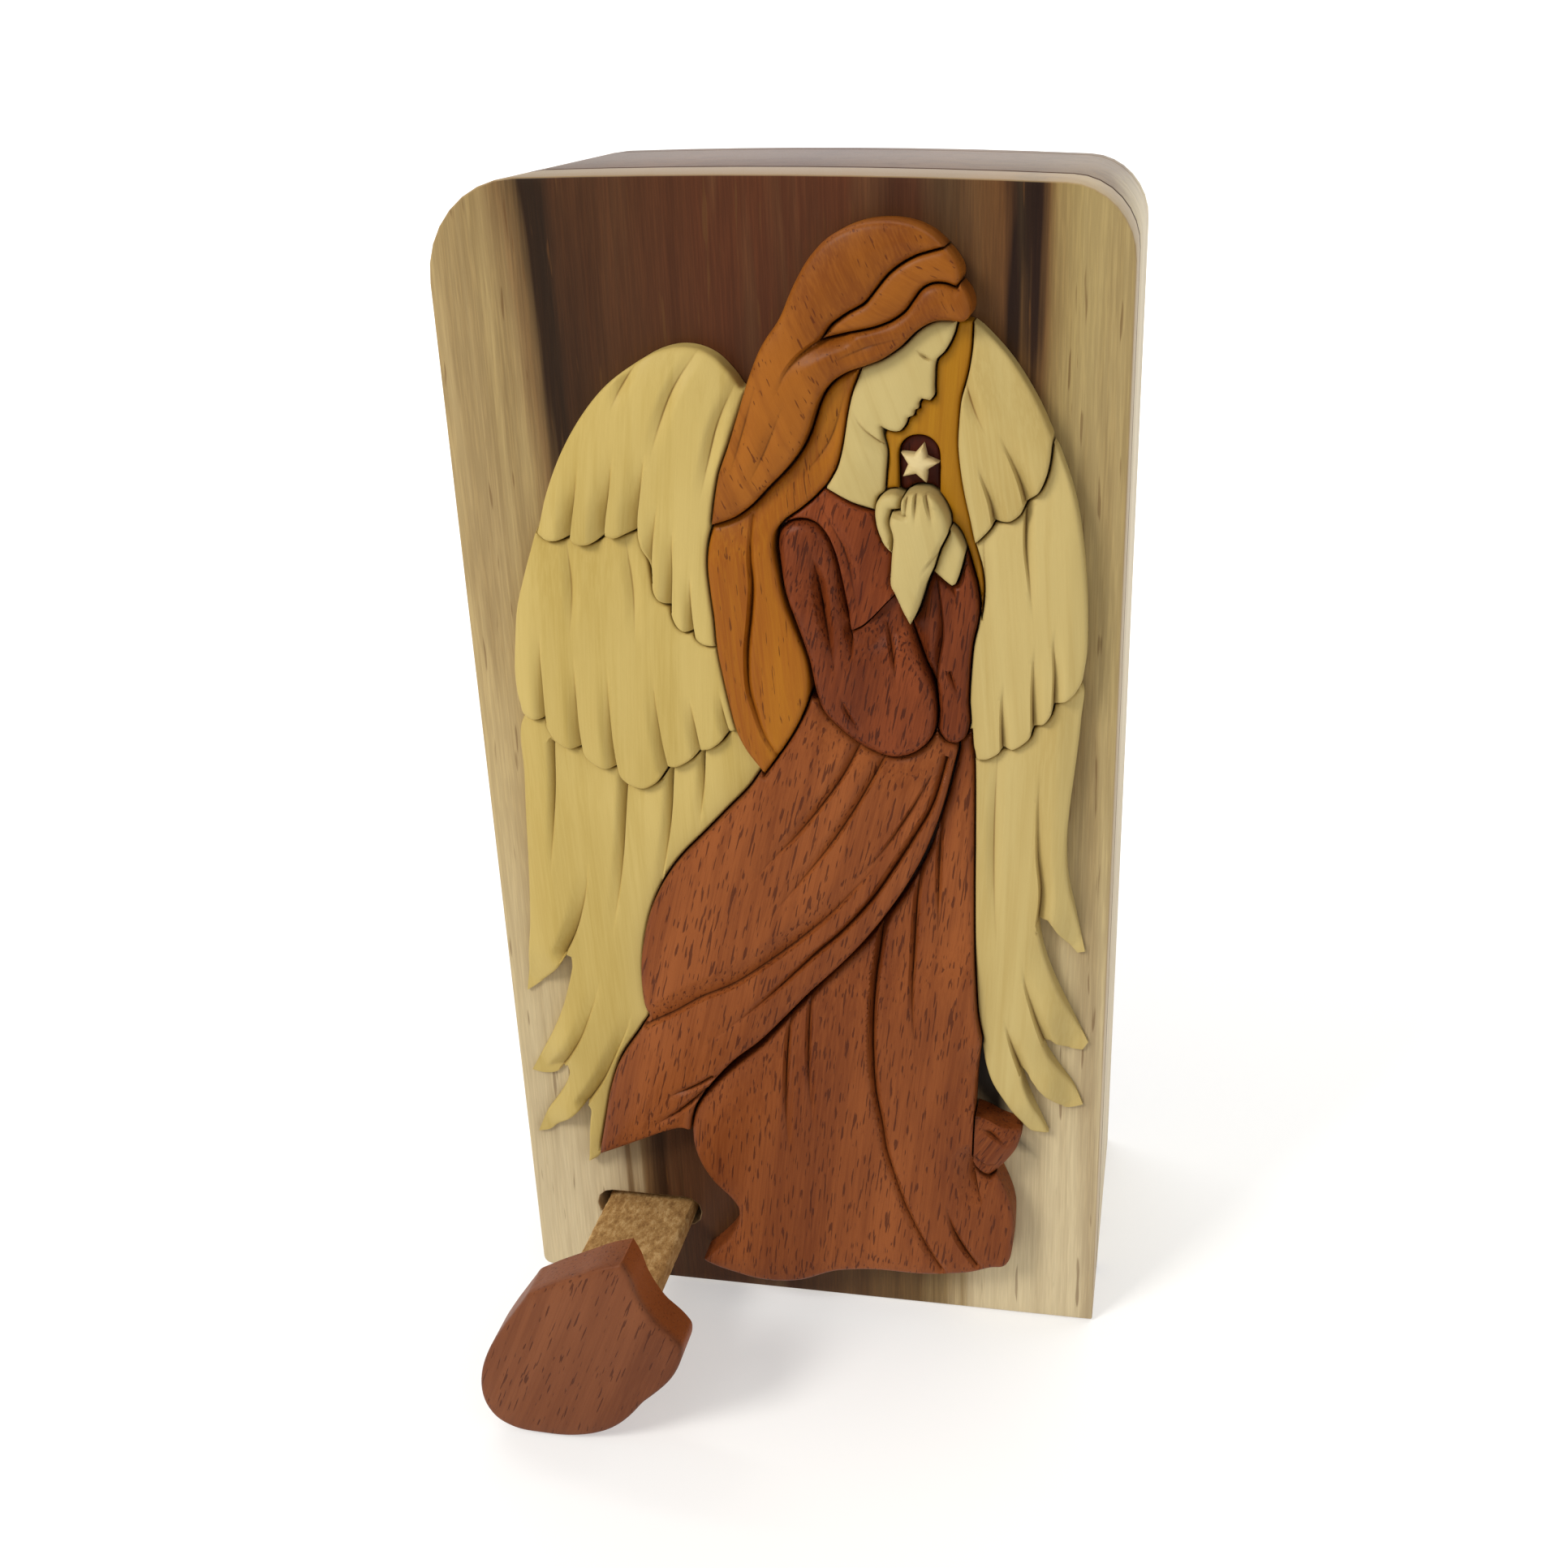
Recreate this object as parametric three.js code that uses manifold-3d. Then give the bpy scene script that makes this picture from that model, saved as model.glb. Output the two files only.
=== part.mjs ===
// Marquetry puzzle box: a standing wooden box whose lid carries a relief of a praying angel, pieced
// together from many sawn and rounded pieces of wood. One piece of the dress is the key: it slides
// straight out through a slot in the lid, and then the lid turns on a peg in its top right corner.
//
// Frame: millimetres, +Z up, the relief faces -Y, the origin is the centre of the case's base.

import * as THREE from "three";
import { mergeVertices } from "three/addons/utils/BufferGeometryUtils.js";
import Module from "manifold-3d";

const wasm = await Module();
wasm.setup();

// ---------------------------------------------------------------- driving dimensions
const WIDTH = 105;                 // outside width of lid and case
const HEIGHT = 200;                // overall height
const CROWN = 1.2;                 // how far the top edge arches above its ends
const LEFT_RADIUS = 14.5;          // rounded top left corner
const RIGHT_RADIUS = 10;           // the top right corner, over the peg, is tighter
const FOOT_RADIUS = 1.5;           // eased bottom left corner
const SHARP_RADIUS = 0.3;          // the bottom right corner is left almost sharp

const CASE_DEPTH = 41;             // case, front to back
const BACK_THICK = 5;              // back panel, let in behind the case walls
const LID_THICK = 14;
const LID_FOOT_GAP = 0.4;          // the lid hangs this far above the base plane
const RUNNING_GAP = 0.3;           // between lid and case
const GLUE = 0.1;                  // glue line between pieces of one body
const SEAM = 0.3;                  // sawn seam between neighbouring relief pieces

const CASE_FRONT = -CASE_DEPTH / 2;
const CASE_BACK = CASE_DEPTH / 2;
const LID_BACK = CASE_FRONT - RUNNING_GAP;
const LID_FACE = LID_BACK - LID_THICK;
const PANEL_FRONT = CASE_BACK - BACK_THICK;

const CAVITY = { halfWidth: 40.5, bottom: 28, top: 186, radius: 10, edge: 3 };
const LINING = 0.8;                // felt thickness
const LINING_SET_BACK = 1.5;       // how far the felt on the walls stops short of the rim

const PIVOT = { x: 40, z: 185, radius: 4, clearance: 0.3, lidDepth: 9 };
const CAP = { radius: 7.5, thick: 3, pocketRadius: 8.2, pocketDepth: 4.2 };
const PIVOT_BLOCK = { reach: 13, fillet: 6 };   // solid wood kept round the peg
const END_PLAY = 0.5;              // play along the peg at each end of the cap

const SLOT = { x: -30.4, z: 16.1, width: 19.8, height: 6.2, endEase: 0.2 };
const TONGUE = { x: -30.35, z: 15.35, width: 16.7, height: 3.9, radius: 0.9 };
const KEY_THICK = 7;
const KEY_OUT = 34;                // how far the key stands pulled out at rest
const TONGUE_LENGTH = 43;
const KEY_POCKET = { depth: 29, clearance: 0.3 };   // the tongue's pocket in the case
const WINDOW = { x: 22.07, halfWidth: 3.13, top: 164.2, arch: 3, foot: 0.3 };   // behind the star
const STAR_BED = { thick: 2.2, gap: 0.2 };      // the dark piece in the window, under the star
const STAR = { x: 22.05, z: 160, tip: 3.05, notch: 1.55, thick: 2.2, lean: 76 };
const OVERLAP = 1;                 // how far a cutting solid reaches past the face it cuts
const STEP = 1.7;                  // spacing of points along a curved outline
const STEPS_PER_RUN = 8;           // most points between two knots of an outline
const SAME_POINT = 0.05;           // points closer than this are one point
const ARC_STEPS = 8;               // chords in a quarter circle
const SMALL_RADIUS = 3;            // a corner with a smaller radius than this gets fewer chords
const SMALL_ARC_STEPS = 3;
const ROD_SIDES = 32;

// ---------------------------------------------------------------- woods and fittings
const wood = (color, roughness = 0.45) =>
  new THREE.MeshStandardMaterial({ color, roughness, metalness: 0 });
const PANEL_WOOD = () => wood(0x9a7248);
const CASE_WOOD = () => wood(0xb59a6c, 0.5);
const CREAM_WOOD = () => wood(0xc9b678);
const PALE_WOOD = () => wood(0xcfc193);
const HAIR_WOOD = () => wood(0x9c5a22);
const GOLD_WOOD = () => wood(0xa86a1e);
const AMBER_WOOD = () => wood(0xa36e12);
const DRESS_WOOD = () => wood(0x8c4c33);
const SLEEVE_WOOD = () => wood(0x733527);
const DARK_WOOD = () => wood(0x4f2117);
const RAW_WOOD = () => wood(0x96784c, 0.75);
const FELT = () => wood(0x5a1420, 0.95);

// ---------------------------------------------------------------- geometry helpers

// One smooth run through a few points, sampled about STEP apart.
function smoothRun(points) {
  if (points.length === 2) return points.map(([x, z]) => new THREE.Vector2(x, z));
  const knots = points.map(([x, z]) => new THREE.Vector3(x, z, 0));
  const curve = new THREE.CatmullRomCurve3(knots, false, "centripetal");
  const samples = [];
  for (let i = 0; i < knots.length - 1; i += 1) {
    const length = knots[i].distanceTo(knots[i + 1]);
    const pieces = Math.max(1, Math.min(STEPS_PER_RUN, Math.round(length / STEP)));
    for (let k = 0; k < pieces; k += 1) {
      const p = curve.getPoint((i + k / pieces) / (knots.length - 1));
      samples.push(new THREE.Vector2(p.x, p.y));
    }
  }
  const last = knots[knots.length - 1];
  samples.push(new THREE.Vector2(last.x, last.y));
  return samples;
}

// A closed outline made of smooth runs that meet at corners. It always runs counter-clockwise.
function outline(...runs) {
  const loop = [];
  for (const run of runs) {
    for (const p of smoothRun(run)) {
      const previous = loop[loop.length - 1];
      if (!previous || previous.distanceTo(p) > SAME_POINT) loop.push(p);
    }
  }
  if (loop[0].distanceTo(loop[loop.length - 1]) < SAME_POINT) loop.pop();
  return THREE.ShapeUtils.isClockWise(loop) ? loop.reverse() : loop;
}

// The same outline moved outwards by a distance, with mitred corners.
function grow(loop, distance) {
  const count = loop.length;
  return loop.map((p, i) => {
    const before = loop[(i + count - 1) % count];
    const after = loop[(i + 1) % count];
    const a = new THREE.Vector2(p.y - before.y, before.x - p.x).normalize();
    const b = new THREE.Vector2(after.y - p.y, p.x - after.x).normalize();
    const mitre = a.clone().add(b);
    if (mitre.length() < 0.2) mitre.copy(a);
    mitre.normalize();
    const stretch = Math.min(2, 1 / Math.max(0.3, mitre.dot(a)));
    return p.clone().addScaledVector(mitre, distance * stretch);
  });
}

// A rounded rectangle, its corner radii listed from bottom left, counter-clockwise. A crown arches its
// top edge about X = 0 and lets both top corners down by that much.
function roundedRect(x0, z0, x1, z1, radii, crown = 0, arcSteps = ARC_STEPS) {
  const sag = (x) => crown * ((2 * x) / (x1 - x0)) ** 2;
  const centres = [
    [x0 + radii[0], z0 + radii[0], Math.PI],
    [x1 - radii[1], z0 + radii[1], 1.5 * Math.PI],
    [x1 - radii[2], z1 - radii[2], 0],
    [x0 + radii[3], z1 - radii[3], 0.5 * Math.PI],
  ];
  const loop = [];
  centres.forEach(([cx, cz, start], corner) => {
    const steps = radii[corner] < SMALL_RADIUS ? SMALL_ARC_STEPS : arcSteps;
    for (let i = 0; i <= steps; i += 1) {
      const angle = start + (i / steps) * (Math.PI / 2);
      const x = cx + radii[corner] * Math.cos(angle);
      const z = cz + radii[corner] * Math.sin(angle);
      loop.push(new THREE.Vector2(x, corner > 1 ? z - sag(x) : z));
    }
    if (crown > 0 && corner === 2) {
      const from = x1 - radii[2];
      const to = x0 + radii[3];
      for (let i = 1; i < ARC_STEPS; i += 1) {
        const x = from + (to - from) * (i / ARC_STEPS);
        loop.push(new THREE.Vector2(x, z1 - sag(x)));
      }
    }
  });
  return loop;
}

function circle(x, z, radius) {
  const loop = [];
  for (let i = 0; i < ROD_SIDES; i += 1) {
    const angle = (2 * Math.PI * i) / ROD_SIDES;
    loop.push(new THREE.Vector2(x + radius * Math.cos(angle), z + radius * Math.sin(angle)));
  }
  return loop;
}

// A slab with a given outline in X and Z, between two Y planes.
function slab(loop, yFront, yBack) {
  const geometry = new THREE.ExtrudeGeometry(new THREE.Shape(loop), {
    depth: yBack - yFront,
    steps: 1,
    curveSegments: 1,
    bevelEnabled: false,
  });
  geometry.rotateX(Math.PI / 2);
  geometry.translate(0, yBack, 0);
  return geometry;
}

function toSolid(geometry) {
  const plain = geometry.clone();
  plain.deleteAttribute("normal");
  plain.deleteAttribute("uv");
  const merged = mergeVertices(plain, 1e-4);
  return new wasm.Manifold(
    new wasm.Mesh({
      numProp: 3,
      vertProperties: new Float32Array(merged.attributes.position.array),
      triVerts: new Uint32Array(merged.index.array),
    }),
  );
}

function toGeometry(solid) {
  const { vertProperties, triVerts } = solid.getMesh();
  const geometry = new THREE.BufferGeometry();
  geometry.setAttribute("position", new THREE.BufferAttribute(vertProperties, 3));
  geometry.setIndex(new THREE.BufferAttribute(triVerts, 1));
  const faceted = geometry.toNonIndexed();
  faceted.computeVertexNormals();
  return faceted;
}

// A geometry with other geometries cut out of it.
function cut(geometry, cutters) {
  let solid = toSolid(geometry);
  for (const cutter of cutters) solid = solid.subtract(toSolid(cutter));
  return toGeometry(solid);
}

// A rod or disc along Y.
function disc(x, z, radius, yFront, yBack) {
  return slab(circle(x, z, radius), yFront, yBack);
}

const box = new THREE.Group();

function add(name, geometry, material) {
  const mesh = new THREE.Mesh(geometry, material);
  mesh.name = name;
  box.add(mesh);
}

// ---------------------------------------------------------------- case
function boxOutline(foot) {
  const radii = [FOOT_RADIUS, SHARP_RADIUS, RIGHT_RADIUS, LEFT_RADIUS];
  return roundedRect(-WIDTH / 2, foot, WIDTH / 2, HEIGHT, radii, CROWN);
}

// The compartment: a rounded rectangle that steps round the solid corner kept for the peg.
function cavityOutline(inset = 0) {
  const side = CAVITY.halfWidth - inset;
  const bottom = CAVITY.bottom + inset;
  const top = CAVITY.top - inset;
  const stepX = PIVOT.x - PIVOT_BLOCK.reach - inset;
  const stepZ = PIVOT.z - PIVOT_BLOCK.reach - inset;
  const radius = CAVITY.radius - inset;
  const fillet = PIVOT_BLOCK.fillet + inset;
  const edge = CAVITY.edge;
  const corner = (cx, cz, start, turn, r) => {
    const points = [];
    for (let i = 0; i <= 5; i += 1) {
      const angle = start + (turn * i * Math.PI) / 10;
      points.push(new THREE.Vector2(cx + r * Math.cos(angle), cz + r * Math.sin(angle)));
    }
    return points;
  };
  return [
    ...corner(-side + radius, bottom + radius, Math.PI, 1, radius),
    ...corner(side - radius, bottom + radius, 1.5 * Math.PI, 1, radius),
    ...corner(side - edge, stepZ - edge, 0, 1, edge),
    ...corner(stepX + fillet, stepZ + fillet, 1.5 * Math.PI, -1, fillet),
    ...corner(stepX - edge, top - edge, 0, 1, edge),
    ...corner(-side + radius, top - radius, 0.5 * Math.PI, 1, radius),
  ];
}

function slotOutline(clearance) {
  const halfWidth = SLOT.width / 2 + clearance;
  const halfHeight = SLOT.height / 2 + clearance;
  const r = halfHeight - SLOT.endEase;
  const x0 = SLOT.x - halfWidth;
  const x1 = SLOT.x + halfWidth;
  return roundedRect(x0, SLOT.z - halfHeight, x1, SLOT.z + halfHeight, [r, r, r, r], 0, 5);
}

function caseBody() {
  const block = slab(boxOutline(0), CASE_FRONT, PANEL_FRONT - GLUE);
  const front = CASE_FRONT - OVERLAP;
  const back = PANEL_FRONT + OVERLAP;
  const compartment = slab(cavityOutline(), front, back);
  const keyPocket = slab(slotOutline(KEY_POCKET.clearance), front, CASE_FRONT + KEY_POCKET.depth);
  const pegHole = disc(PIVOT.x, PIVOT.z, PIVOT.radius + PIVOT.clearance, front, back);
  const capStart = PANEL_FRONT - GLUE - CAP.pocketDepth;
  const capPocket = disc(PIVOT.x, PIVOT.z, CAP.pocketRadius, capStart, back);
  add("case_body", cut(block, [compartment, keyPocket, pegHole, capPocket]), CASE_WOOD());
}

function backPanel() {
  add("back_panel", slab(boxOutline(0), PANEL_FRONT, CASE_BACK), CASE_WOOD());
}

function liningFloor() {
  const loop = cavityOutline(GLUE + LINING + GLUE);
  add("lining_floor", slab(loop, PANEL_FRONT - GLUE - LINING, PANEL_FRONT - GLUE), FELT());
}

function liningWall() {
  const outside = slab(cavityOutline(GLUE), CASE_FRONT + LINING_SET_BACK, PANEL_FRONT - GLUE);
  const inside = slab(cavityOutline(GLUE + LINING), CASE_FRONT, PANEL_FRONT + OVERLAP);
  add("lining_wall", cut(outside, [inside]), FELT());
}

// ---------------------------------------------------------------- lid and its pivot
function lidPanel() {
  const board = slab(boxOutline(LID_FOOT_GAP), LID_FACE, LID_BACK);
  const slot = slab(slotOutline(0), LID_FACE - OVERLAP, LID_BACK + OVERLAP);
  const socketEnd = LID_BACK - PIVOT.lidDepth;
  const socket = disc(PIVOT.x, PIVOT.z, PIVOT.radius + GLUE, socketEnd, LID_BACK + OVERLAP);
  add("lid_panel", cut(board, [slot, socket]), PANEL_WOOD());
}

function pivotPeg() {
  const start = LID_BACK - PIVOT.lidDepth + GLUE;
  const end = PANEL_FRONT - GLUE - CAP.thick - END_PLAY - GLUE;
  add("pivot_peg", disc(PIVOT.x, PIVOT.z, PIVOT.radius, start, end), RAW_WOOD());
}

function pivotCap() {
  const back = PANEL_FRONT - GLUE - END_PLAY;
  add("pivot_cap", disc(PIVOT.x, PIVOT.z, CAP.radius, back - CAP.thick, back), RAW_WOOD());
}

// ---------------------------------------------------------------- relief on the lid
const fitted = new Map();     // grown outlines of the pieces already set, which later pieces fit against

// Sets one relief piece on the lid. It fits round every piece set before it, round the extra openings
// given, and not round the piece that it may lie under.
function setPiece(name, loop, height, material, openings = [], under = "") {
  const front = LID_FACE - GLUE - height;
  const raw = slab(loop, front, LID_FACE - GLUE);
  const others = [...fitted].filter(([other]) => other !== under).map(([, grown]) => grown);
  const cutters = [...others, ...openings].map((edge) => slab(edge, front - OVERLAP, LID_FACE + OVERLAP));
  add(name, cut(raw, cutters), material);
  fitted.set(name, grow(loop, SEAM));
}

// Seams that two pieces share, each drawn once.
const CROWN_SEAM = [
  [8.6, 178.2], [10, 180], [12.7, 181.9], [15, 183.2], [16.6, 185.1], [18.2, 187], [20.2, 188.6],
  [22.5, 189.8], [24.5, 190.4], [26.4, 190.9],
];
const FRINGE_SEAM = [
  [27.9, 185.8], [26.4, 186.3], [24.6, 186.3], [23, 185.5], [20.6, 182.4], [18.8, 181.1], [16, 180],
  [12, 179.1], [8.6, 178.2],
];

// The two edges of the dress that the key fits against.
const TAIL_EDGE = [
  [-37.3, 31], [-33.9, 32.6], [-28.9, 35.2], [-24.3, 37.6], [-21.2, 38.7], [-19.7, 38.4],
];
const NOTCH_EDGE = [
  [-18.9, 9.7], [-17.4, 11.2], [-14.6, 14.3], [-12.9, 16.9], [-11.7, 20.3], [-11.7, 22.3],
  [-13.4, 25], [-15.5, 27.1], [-17.2, 29.7], [-18.6, 33], [-19.3, 36.5], [-19.3, 39.7],
];

function hands() {
  const near = outline(
    [[20.1, 155.4], [19.9, 154.3], [19.9, 153.4], [18.5, 153.2]],
    [[18.5, 153.2], [18.2, 151.8], [18.7, 149.5], [18.5, 147], [18.3, 144.5], [18.2, 142.1]],
    [[18.2, 142.1], [18.9, 140.5], [19.9, 138], [21, 135.8]],
    [[21, 135.8], [21.9, 137.5], [22.7, 139.8], [23.5, 142.4], [24.6, 144.9]],
    [[24.6, 144.9], [25.6, 148], [26.8, 150.6], [26.7, 152.4], [26, 154.1], [25, 155.5],
      [23.5, 156.3], [21.5, 156.3], [20.1, 155.4]],
  );
  setPiece("hand_near", near, 8.6, PALE_WOOD());

  const fingers = outline(
    [[20.3, 155.1], [18.7, 155.9], [17.3, 155.7], [16.2, 154.7], [15.8, 153.2], [15.9, 151.4],
      [16.3, 149.8], [17.1, 148], [18.4, 146.6]],
    [[18.4, 146.6], [20.5, 150]],
    [[20.5, 150], [20.3, 155.1]],
  );
  setPiece("hand_far_fingers", fingers, 7, PALE_WOOD());

  const wrist = outline(
    [[26, 151.6], [27.5, 150.6], [28.3, 149.5], [29.1, 147.5]],
    [[29.1, 147.5], [28.9, 146], [28.4, 144], [27.8, 142.4], [27.3, 142.1]],
    [[27.3, 142.1], [26, 143.1], [24.7, 144.3], [23.6, 146]],
    [[23.6, 146], [26, 151.6]],
  );
  setPiece("hand_far_wrist", wrist, 6.8, PALE_WOOD());
}

function star() {
  const points = [];
  for (let i = 0; i < 10; i += 1) {
    const radius = i % 2 === 0 ? STAR.tip : STAR.notch;
    const angle = THREE.MathUtils.degToRad(STAR.lean + 36 * i);
    points.push(new THREE.Vector2(STAR.x + radius * Math.cos(angle), STAR.z + radius * Math.sin(angle)));
  }
  const back = LID_FACE - GLUE - STAR_BED.thick - GLUE;
  add("star", slab(points, back - STAR.thick, back), PALE_WOOD());
}

function sleeves() {
  const near = outline(
    [[11.6, 133.8], [10.8, 138], [10, 142.5], [9.2, 146], [8, 148.7], [6.4, 150.3], [4.4, 150.9],
      [2.4, 150.5], [0.9, 149.2], [0.4, 147], [0.7, 144], [1.5, 140], [2.8, 136], [4.1, 132],
      [5.1, 128.5], [5.8, 124.5], [6.9, 120.9], [8.8, 118.6], [12, 115.9], [15.2, 114.2], [18, 113.5],
      [20.6, 114], [22.9, 115.6], [24.4, 117.9], [24.8, 121], [24.3, 125.4], [22.8, 129.3],
      [21.4, 133], [20.2, 137], [19.2, 140.5]],
    [[19.2, 140.5], [17.3, 138.6], [15.5, 136.6], [13.5, 134.8], [11.6, 133.8]],
  );
  setPiece("sleeve_near", near, 7.6, SLEEVE_WOOD());

  const far = outline(
    [[20, 136], [23, 141], [25, 146], [28, 147], [29.2, 147.2]],
    [[29.2, 147.2], [30, 144.5], [30.9, 141], [31.2, 137.2], [30.3, 132.5], [29.9, 128],
      [29.7, 123], [29.9, 119.5], [29.3, 117.2], [28, 116], [26.4, 116.4], [25.2, 117.9], [24.6, 120]],
    [[24.6, 120], [22.5, 126]],
    [[22.5, 126], [20, 136]],
  );
  setPiece("sleeve_far", far, 6.2, SLEEVE_WOOD());
}

function hair() {
  const wave = outline(
    CROWN_SEAM,
    [[26.4, 190.9], [27.6, 189.5], [28.4, 188], [28.4, 186.7], [27.9, 185.8]],
    FRINGE_SEAM,
  );
  setPiece("hair_wave", wave, 7.2, HAIR_WOOD());

  const main = outline(
    [[28.3, 188.2], [27.8, 189.4], [26.3, 191.1], [24.6, 192.6], [22, 193.9], [18.5, 194.5],
      [14.2, 194.1], [10, 192.3], [6.9, 189.3], [4.4, 185.2], [2.3, 180.8], [-0.4, 177],
      [-2.6, 172.2], [-4.5, 166.7], [-6.2, 162], [-7.7, 158.3], [-8.8, 153.8], [-9.5, 149.9]],
    [[-9.5, 149.9], [-6, 151.2], [-3, 153.4], [-0.5, 156], [3, 159.6], [5, 162.4], [6.3, 165.2],
      [7.4, 168.4], [8.6, 170.7], [10.2, 172.4], [12.2, 173.6], [14.7, 174.5], [17, 175.4],
      [20, 177.4], [22.3, 179.6], [25, 181], [28.9, 181]],
    [[28.9, 181], [29.8, 181.8], [30, 183.2], [29.5, 184.8], [28.3, 186.4], [27.6, 187.2]],
    [[27.6, 187.2], [28.3, 188.2]],
  );
  setPiece("hair_main", main, 7.8, HAIR_WOOD());

  const back = outline(
    [[14.2, 175], [13.2, 172.6], [12.2, 170], [11.4, 166.5], [10.8, 163], [9.8, 159.3], [8.3, 156.7]],
    [[8.3, 156.7], [6.3, 154.6], [3.9, 152.6], [1.7, 151], [0.2, 149], [-0.1, 146.5],
      [0.4, 143], [1.4, 138], [3.2, 133], [4.5, 129.3], [4.9, 126], [4.8, 124], [4.2, 121.5],
      [2.7, 118], [1, 115], [-1, 112], [-3, 109.2]],
    [[-3, 109.2], [-5.8, 113], [-7.2, 116], [-8, 119.5], [-8.9, 124.5], [-9.7, 130],
      [-9.9, 135], [-10.3, 139.5], [-10.5, 144], [-10.1, 147.5], [-9, 151]],
    [[-9, 151], [-3, 155], [4, 163], [8, 172], [14.2, 175]],
  );
  setPiece("hair_back", back, 6.4, GOLD_WOOD());
}

// A profile laid out from a hairline: down the face, and out in front of the face line.
// The thirds are hairline to brow, brow to nose, nose to chin.
function faceNeck() {
  const hairline = new THREE.Vector2(27.9, 181.6);
  const third = 6.3;
  const tilt = THREE.MathUtils.degToRad(28);
  const at = (down, out) => [
    hairline.x - down * third * Math.sin(tilt) + out * Math.cos(tilt),
    hairline.y - down * third * Math.cos(tilt) - out * Math.sin(tilt),
  ];
  const loop = outline(
    [at(0, 0), at(0.45, 0.7), at(0.85, 0.7), at(1.12, 0.2), at(1.5, 1.1), at(1.88, 2.3)],
    [at(1.88, 2.3), at(2, 2.1), at(2.06, 0.95), at(2.2, 0.85), at(2.3, 1.15), at(2.38, 0.75)],
    [at(2.38, 0.75), at(2.5, 1), at(2.62, 0.4), at(2.8, 0.6), at(2.98, 0.3), at(3.08, -0.9)],
    [at(3.08, -0.9), at(3.1, -2.4), [17.3, 161.8], [17.1, 158.6], [16.9, 156], [16.6, 152.6]],
    [[16.6, 152.6], [12, 154], [8.3, 156]],
    [[8.3, 156], [9.4, 159.3], [10.4, 163], [11, 166.5], [11.8, 170], [13, 173], [14, 176]],
    [[14, 176], [20, 179.5], [25, 183], at(0, 0)],
  );
  setPiece("face_neck", loop, 5.2, PALE_WOOD());
}

function bodice() {
  const loop = outline(
    [[8, 157], [10.5, 156.2], [12.6, 155.4], [14.6, 154.3], [17, 152.9]],
    [[17, 152.9], [17.5, 150], [19.5, 145], [19.5, 139], [14, 134], [10.5, 134]],
    [[10.5, 134], [5, 142], [2, 149], [1.5, 151.5]],
    [[1.5, 151.5], [5, 154], [8, 157]],
  );
  setPiece("bodice", loop, 5.6, SLEEVE_WOOD());
}

function hairFar() {
  const strip = outline(
    [[29.8, 180.6], [29.7, 177], [29.2, 173.5], [28.3, 170], [27.9, 166], [27.8, 163], [28.2, 159],
      [28.8, 155.5], [29.6, 152], [30.3, 148.7], [31.2, 145.5], [31.8, 141.5], [31.6, 137]],
    [[31.6, 137], [30, 141], [28, 147], [24, 152], [17.5, 153]],
    [[17.5, 153], [16.8, 158], [16.8, 163], [20, 170], [26, 181], [29.8, 180.6]],
  );
  setPiece("hair_far", strip, 3.6, AMBER_WOOD(), [windowOutline(0, 150)]);
}

// The arched window in the far hair, made smaller by an inset and drawn down to a given bottom.
function windowOutline(inset, bottom) {
  const half = WINDOW.halfWidth - inset;
  const arch = WINDOW.arch - inset;
  const radii = [WINDOW.foot, WINDOW.foot, arch, arch];
  return roundedRect(WINDOW.x - half, bottom, WINDOW.x + half, WINDOW.top - inset, radii, 0, 6);
}

function starBed() {
  setPiece("star_bed", windowOutline(STAR_BED.gap, 154), STAR_BED.thick, DARK_WOOD(), [], "hair_far");
}

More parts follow.
